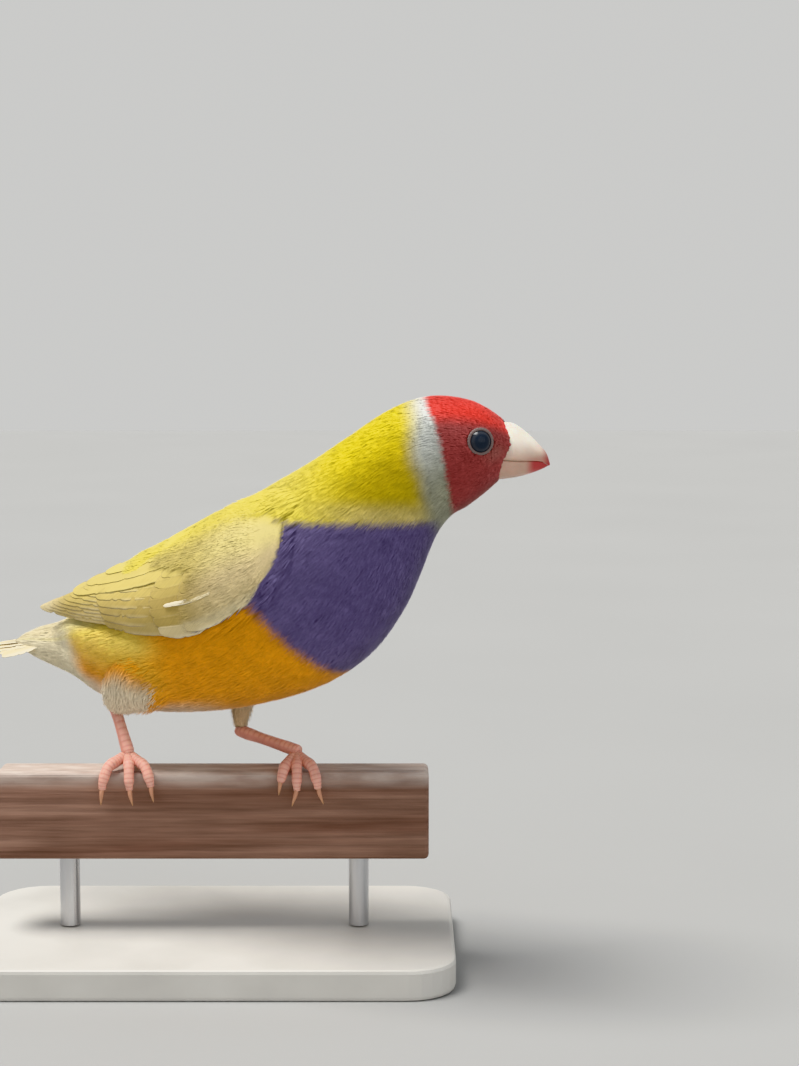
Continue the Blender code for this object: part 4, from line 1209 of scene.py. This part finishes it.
def lid_ring(axis):
    """The beaded ring of bare skin round an eye: its rings of points and their colours."""
    side, other = beside(axis)
    turn = np.linspace(0, 2 * np.pi, 168, endpoint=False)[:, None]
    tilt = np.linspace(0, 2 * np.pi, 14, endpoint=False)[None]
    thick = LID_THICKNESS * (1 + 0.10 * np.cos(28 * turn) * ease(np.cos(tilt), -0.6, 0.4))
    reach = LID_RADIUS + thick * np.cos(tilt)
    rise = LID_HEIGHT + 0.62 * thick * np.sin(tilt)
    round_about = side * np.cos(turn)[..., None] + other * np.sin(turn)[..., None]
    inside = ease(-np.cos(tilt), 0.35, 0.9) + 0 * turn
    return round_about * reach[..., None], axis * rise[..., None], mix(LID, LID_INSIDE, inside)


def make_eyes(eye_finish, lid_finish):
    for name, (centre, axis) in EYES.items():
        rings, tilt = eyeball(axis)
        # The middle and the ring are dark, with a blue-grey of painted sky reflection
        ball_colours = mix(EYE_MIDDLE_AND_PAINTED_SKY, IRIS_AND_PAINTED_SKY, ease(tilt, 0.42, 0.6))
        ball_colours = mix(ball_colours, IRIS_EDGE, ease(tilt, 0.68, 0.84))
        ball_colours = mix(ball_colours, EYE_SKIN, ease(tilt, 0.9, 1.0))
        eye = new_mesh("eyeball_" + name, *loft(centre + rings), eye_finish, with_ends(ball_colours))
        add_piece(eye, "eye", "eye_" + name)
        round_about, rise, colour = lid_ring(axis)
        rings = centre + round_about + rise
        points = rings.reshape(-1, 3)
        quads = quads_between(*rings.shape[:2], closed=True)[:, [0, 3, 2, 1]]
        if signed_volume(points, quads) < 0:
            quads = quads[:, ::-1]
        add_piece(new_mesh("eyelid_" + name, points, [quads], lid_finish, colour.reshape(-1, 3)), "eye")


def bill_rings(top, edge, half_width, sides, flat_sides, bend, ridge):
    """Rings (u, v, h) of half of the bill: a round side over top from edge to edge, then a flat one back."""
    turn = np.linspace(0, np.pi, sides + 1)[None]
    lift = np.sin(turn) ** bend
    u = edge[:, :1] + (top[:, :1] - edge[:, :1]) * lift
    h = edge[:, 1:] + (top[:, 1:] - edge[:, 1:]) * lift
    v = half_width[:, None] * np.cos(turn) * (1 - ridge * np.sin(turn) ** 6)
    rounded = np.stack([u, v, h], -1)
    share = (np.arange(1, flat_sides) / flat_sides)[None]
    back_v = half_width[:, None] * (2 * share - 1)
    arch = 0.12 * (1 - (2 * share - 1) ** 2)
    sign = np.sign(top[:, 1:] - edge[:, 1:])
    back = np.stack([edge[:, :1] + 0 * back_v, back_v, edge[:, 1:] + sign * arch * half_width[:, None]], -1)
    return np.concatenate([rounded, back], 1)


def make_bill(finish):
    t = np.linspace(0, len(CULMEN) - 1, 60)
    top, mouth, under = smooth(CULMEN, t), smooth(MOUTH, t), smooth(UNDERSIDE, t)
    half = smooth([(w,) for w in BILL_HALF_WIDTH], t)[:, 0]
    upper_edge = mouth + (0.0, 0.02)
    lower_u = np.minimum(mouth[:, 0], under[:, 0] + 0.95)
    lower_edge = np.stack([lower_u, np.interp(lower_u, mouth[:, 0], mouth[:, 1]) - 0.02], -1)
    for name, rings, node_name in (
        ("bill_upper_horn", bill_rings(top, upper_edge, half, 40, 12, 1.0, 0.5), "bill_upper"),
        ("bill_lower_horn", bill_rings(under, lower_edge, half * 0.95, 40, 12, 0.8, 0.1), "bill_lower"),
    ):
        u, _, h = np.moveaxis(rings, -1, 0)
        if name.startswith("bill_upper"):
            share = 0.7 * ease(u, 67.6, 69.4) + 0.25 * ease(63.8 - h, 0.0, 1.2) * ease(u, 63.5, 67.0)
        else:
            share = 0.05 + 0.9 * ease(u, 64.4, 66.6)
        # Lighter towards the top: partly the pale ridge's own colour, partly painted light from above
        colour = mix(mix(HORN_LOW, HORN_HIGH, ease(h, 62.2, 67.0)), HORN_TIP, np.clip(share, 0, 1))
        obj = new_mesh(name, *loft(place(rings)), finish, with_ends(colour))
        add_piece(obj, "bill_horn", node_name)


# Legs, toes and claws


def scutes(run, turn, period, height):
    """How far overlapping plates on the upper side stand out, run millimetres along a toe or shank."""
    share = np.mod(run / period, 1.0)
    plate = np.where(share < 0.86, share**0.8, (1 - share) / 0.14)
    upper = ease(np.cos(turn), -0.15, 0.35)
    small = 0.4 * np.abs(np.sin(np.pi * run / (period * 0.6))) * np.abs(np.sin(4 * turn))
    return height * (plate * upper + small * (1 - upper))


def scaly_tube(route, radii, upper, period, height, sides=28, per_scute=7, bumps=()):
    tube = Tube(on_perch(route), radii, upper)
    rings = int(tube.length / period * per_scute) + 8
    a, b = grid(np.linspace(0, 1, rings), sides)
    run = a * tube.length
    lift = scutes(run, b, period, height)
    for middle, size, reach in bumps:
        lift = lift + size * np.exp(-(((run - middle) / reach) ** 2))
    points = tube(a, b, lift)
    share = np.mod(run / period, 1.0)
    # The upper side is lighter: partly paler plates, partly painted light from above
    plate = ease(np.cos(b), -0.15, 0.35) * ease(share, 0.05, 0.45)
    colour = mix(SCUTE_ROOT, SCUTE_TOP, 0.25 + plate * 0.45)
    return points, mix(colour, SCUTE_SEAM, ease(share, 0.9, 1.0) * 0.25)


def toe_routes(leg):
    """The route of each toe and of its claw, over the perch."""
    x = leg["ankle"][0]
    face = -PERCH[1] / 2 - GAP - TOE_RADIUS
    back = PERCH[1] / 2 + GAP + TOE_RADIUS
    found = []
    for spread, reach, drift in leg["toes"]:
        over_top = ((0.1, -1.4, 2.6), (0.45, -3.3, 2.0), (0.8, -5.3, 1.1))
        down_face = ((1.0, face - 0.1, -0.6 + 0.3 * reach), (1.05, face, reach - 0.6))
        route = [(x + share * spread, y, h) for share, y, h in (*over_top, *down_face)]
        end_x, end_y, end_h = route[-1]
        tip_x = x + drift
        hook = (
            (end_x, end_y - 0.05, end_h + 0.7),
            (end_x * 0.7 + tip_x * 0.3, end_y - 0.42, end_h - 0.9),
            (end_x * 0.3 + tip_x * 0.7, end_y - 0.15, end_h - 2.2),
            (tip_x, end_y + 0.5, end_h - 3.3),
        )
        found.append((route, hook, (0.0, -1.0, 1.0)))
    drift = leg["hind_drift"]
    over_back = ((0.0, -1.2, 2.6), (0.3, 1.2, 1.5), (0.7, 3.8, 1.4), (1.0, back - 0.4, 0.9))
    route = [(x + share * drift, y, h) for share, y, h in over_back]
    end_x, end_y, end_h = route[-1]
    hook = (
        (end_x, end_y - 0.6, end_h + 0.2),
        (end_x, end_y + 0.5, end_h - 0.7),
        (end_x, end_y + 0.7, end_h - 2.3),
        (end_x, end_y + 0.1, end_h - 4.0),
    )
    found.append((route, hook, (0.0, 1.0, 1.0)))
    return found


def make_legs(skin_finish, claw_finish):
    for name, leg in LEGS.items():
        heel, ankle = np.array(leg["heel"]), np.array(leg["ankle"])
        ahead = (ankle - heel) / np.linalg.norm(ankle - heel)
        start, end = heel - ahead * 1.0, ankle + ahead * 0.7
        length = float(np.linalg.norm(end - start))
        route = [start + (end - start) * f for f in (0, 0.2, 0.5, 0.8, 1.0)]
        knobs = ((1.0, 0.18, 1.2), (length - 0.9, 0.2, 1.3))
        parts = [scaly_tube(route, SHANK_RADII, (0.9, -0.45, 1.0), SHANK_SCUTE, 0.05, bumps=knobs)]
        claws = []
        for toe, hook, upper in toe_routes(leg):
            pads = ((3.6, 0.10, 0.7), (6.6, 0.10, 0.7), (9.2, 0.08, 0.6))
            parts.append(scaly_tube(toe, TOE_RADII, upper, TOE_SCUTE, 0.035, sides=24, bumps=pads))
            a, b = grid(np.linspace(0, 1, 40), 18)
            claw = Tube(on_perch(hook), CLAW_RADII, upper)(a, b, -0.08 * np.abs(np.sin(b)) * (1 - a))
            claws.append((claw, mix(CLAW_ROOT, CLAW_TIP, ease(a, 0.4, 1.0))))
        for part, forms, finish, slot, nodes in (
            ("leg_", parts, skin_finish, "leg_skin", ("foot_" + name,)),
            ("claws_", claws, claw_finish, "bill_horn", ()),
        ):
            points, faces, colour = joined([(*loft(rings), with_ends(shade)) for rings, shade in forms])
            add_piece(new_mesh(part + name, points, faces, finish, colour), slot, *nodes)


# Perch and stand

# The band of wear and painted light, from its low edge to its full strength, in metres below the perch's top
WORN_AND_LIT_BAND = (0.0034, 0.0002)


def wood_material():
    finish, shader = material("perch wood", 0.7, Specular_IOR_Level=0.25)
    spot = object_place(finish)
    grain = noise_at(finish, spot, 220.0, 6.0, (0.06, 1.0, 1.0))
    fine = noise_at(finish, spot, 1500.0, 4.0, (0.03, 1.0, 1.0))
    wood = ramp(finish, grain, (0.3, (0.185, 0.10, 0.075)), (0.72, (0.40, 0.25, 0.19)))
    dirt = ranged(finish, noise_at(finish, spot, 90.0, 3.0, (0.4, 1, 1)), 0.78, 1.15)
    colour = times(finish, times(finish, wood, ranged(finish, fine, 0.76, 1.18)), dirt)
    low, high = (PERCH_TOP * MM - below for below in WORN_AND_LIT_BAND)
    near_top = ranged(finish, split(finish, spot)["Z"], 0.0, 1.0, low, high)
    # The top is lighter: partly worn wood, partly painted light on the top
    wear_and_light = ranged(finish, noise_at(finish, spot, 420.0, 7.0, (0.3, 1, 1)), 0.5, 1.0, 0.36, 0.64)
    both = node(finish, "ShaderNodeMix", data_type="RGBA")
    link(finish, math(finish, "MULTIPLY", near_top, wear_and_light), both.inputs[0])
    link(finish, colour, both.inputs[6])
    both.inputs[7].default_value = (0.66, 0.57, 0.51, 1)
    link(finish, both.outputs[2], shader.inputs["Base Color"])
    link(finish, ranged(finish, fine, 0.6, 0.85), shader.inputs["Roughness"])
    bump(finish, shader, fine, 0.8, 0.0002)
    return finish


def plain_material(name, colour, roughness, scale, metallic=0.0, uneven=0.06, stretch=(1, 1, 1)):
    """A satin finish whose colour and gloss vary a little."""
    finish, shader = material(name, roughness, Metallic=metallic)
    spot = object_place(finish)
    cloudy = noise_at(finish, spot, scale, 4.0, stretch)
    base = node(finish, "ShaderNodeRGB")
    base.outputs[0].default_value = (*colour, 1)
    shade = ranged(finish, cloudy, 1 - uneven, 1 + uneven)
    link(finish, times(finish, base.outputs[0], shade), shader.inputs["Base Color"])
    link(finish, ranged(finish, cloudy, roughness - 0.06, roughness + 0.08), shader.inputs["Roughness"])
    fine = noise_at(finish, spot, scale * 12, 2.0, stretch)
    bump(finish, shader, fine, 0.15, 0.0001)
    return finish


def laid_material(name, roughness, scale, strength, **inputs):
    """A skin or horn finish over the colours laid on the mesh."""
    finish, shader = material(name, roughness, **inputs)
    spot = object_place(finish)
    cloudy = ranged(finish, noise_at(finish, spot, scale * 0.3, 4.0), 0.92, 1.06)
    fine = noise_at(finish, spot, scale, 3.0)
    link(finish, times(finish, attribute(finish, "plumage", "Color"), cloudy), shader.inputs["Base Color"])
    link(finish, ranged(finish, fine, roughness - 0.06, roughness + 0.1), shader.inputs["Roughness"])
    bump(finish, shader, fine, strength, 0.00008)
    return finish


def set_finish(obj, finish):
    obj.data.materials.clear()
    obj.data.materials.append(finish)


# Camera, lights and floor

CAMERA_PLACE = (0.0372, -0.3864, 0.1190)
CAMERA_PITCH = np.radians(85)
CAMERA_LENS = 1960 / 1066 * 36
FLOOR_REACH = 3000


def make_camera():
    data = bpy.data.cameras.new("camera")
    data.lens, data.sensor_width, data.sensor_fit = CAMERA_LENS, 36, "AUTO"
    camera = bpy.data.objects.new("camera", data)
    camera.location, camera.rotation_euler = CAMERA_PLACE, (CAMERA_PITCH, 0, 0)
    data.clip_start, data.clip_end = 0.01, 10
    bpy.context.scene.collection.objects.link(camera)
    bpy.context.scene.camera = camera


def sun(name, towards, strength, softness, colour):
    """Soft light that comes from the place given, as from a large lamp far off."""
    data = bpy.data.lights.new(name, "SUN")
    data.energy, data.angle, data.color = strength, np.radians(softness), colour
    obj = bpy.data.objects.new(name, data)
    obj.rotation_euler = (-Vector(towards)).to_track_quat("-Z", "Y").to_euler()
    bpy.context.scene.collection.objects.link(obj)


def make_studio():
    """A pale floor under soft light from above, with a pale sky low down that the floor fades into."""
    sun("key", (-0.35, -0.05, 1.0), 3.3, 30, (1.0, 0.985, 0.95))
    sun("fill", (0.6, -1.0, 0.35), 0.5, 60, (0.95, 0.97, 1.0))
    world = bpy.data.worlds.new("studio")
    world.use_nodes = True
    height = split(world, node(world, "ShaderNodeTexCoord").outputs["Generated"])["Z"]
    sky = ramp(world, height, (0.2, (0.63, 0.63, 0.62)), (0.55, (0.36, 0.37, 0.38)))
    background = world.node_tree.nodes["Background"]
    link(world, sky, background.inputs["Color"])
    background.inputs["Strength"].default_value = 1.0
    bpy.context.scene.world = world
    bpy.context.scene.view_settings.view_transform = "Khronos PBR Neutral"
    far = FLOOR_REACH
    corners = np.array(((-far, -far, 0), (far, -far, 0), (far, far, 0), (-far, far, 0)), float)
    finish = plain_material("floor", (0.42, 0.42, 0.415), 0.85, 6.0, uneven=0.015)
    new_mesh("floor", corners, [np.array(((0, 1, 2, 3),))], finish)


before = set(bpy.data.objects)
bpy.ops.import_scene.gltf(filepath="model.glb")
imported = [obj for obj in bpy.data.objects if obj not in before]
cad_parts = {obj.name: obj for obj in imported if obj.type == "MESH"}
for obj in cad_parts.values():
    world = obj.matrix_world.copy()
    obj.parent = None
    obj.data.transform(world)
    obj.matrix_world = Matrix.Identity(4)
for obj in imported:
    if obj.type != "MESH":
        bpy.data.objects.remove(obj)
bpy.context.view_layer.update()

make_camera()
make_studio()
rng = np.random.default_rng(SEED)

coat = feather_material("small feathers")
flight = vane_material("flight feathers")
make_skin(coat)
body_coat("coat_head", rng, coat, "red_feathers", -1.0, 3.5, 9)
body_coat("coat_neck", rng, coat, "yellow_feathers", 3.5, 6.7, 11)
body_coat("coat_breast", rng, coat, "purple_feathers", 6.7, 9.6, 13, below=0.4)
body_coat("coat_belly", rng, coat, "yellow_feathers", 9.6, 15.0, 11, below=0.4)
body_coat("coat_back", rng, coat, "yellow_feathers", 6.7, 15.0, 13, above=0.4)
body_coat("coat_tail_root", rng, coat, "cream_feathers", 15.0, LAST_SECTION - 0.3, 11)
for leg_name, tube in THIGHS.items():
    corner = (0.75, 0.05 if leg_name == "left" else 0.5)
    thigh_coat("coat_thigh_" + leg_name, rng, coat, tube, LEGS[leg_name]["down"], corner)
make_wing("left", 1, rng, flight, coat)
make_wing("right", -1, rng, flight, coat)
make_tail(rng, flight)
make_eyes(
    laid_material("eye", 0.12, 900.0, 0.0, Specular_IOR_Level=0.35),
    laid_material("bare eyelid", 0.5, 1800.0, 0.3),
)
make_bill(laid_material("horn", 0.34, 900.0, 0.25, Subsurface_Weight=0.15, Subsurface_Scale=0.001))
make_legs(
    laid_material("leg skin", 0.48, 1600.0, 0.4, Subsurface_Weight=0.12, Subsurface_Scale=0.0008),
    laid_material("claw horn", 0.35, 1200.0, 0.2),
)
set_finish(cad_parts["perch"], wood_material())
set_finish(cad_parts["stand_base"], plain_material("stand base", (0.66, 0.64, 0.60), 0.45, 60.0))
steel = plain_material("brushed steel", (0.62, 0.62, 0.63), 0.32, 300.0, 1.0, stretch=(1, 1, 0.05))
for rod in ("stand_rod_left", "stand_rod_right"):
    set_finish(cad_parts[rod], steel)
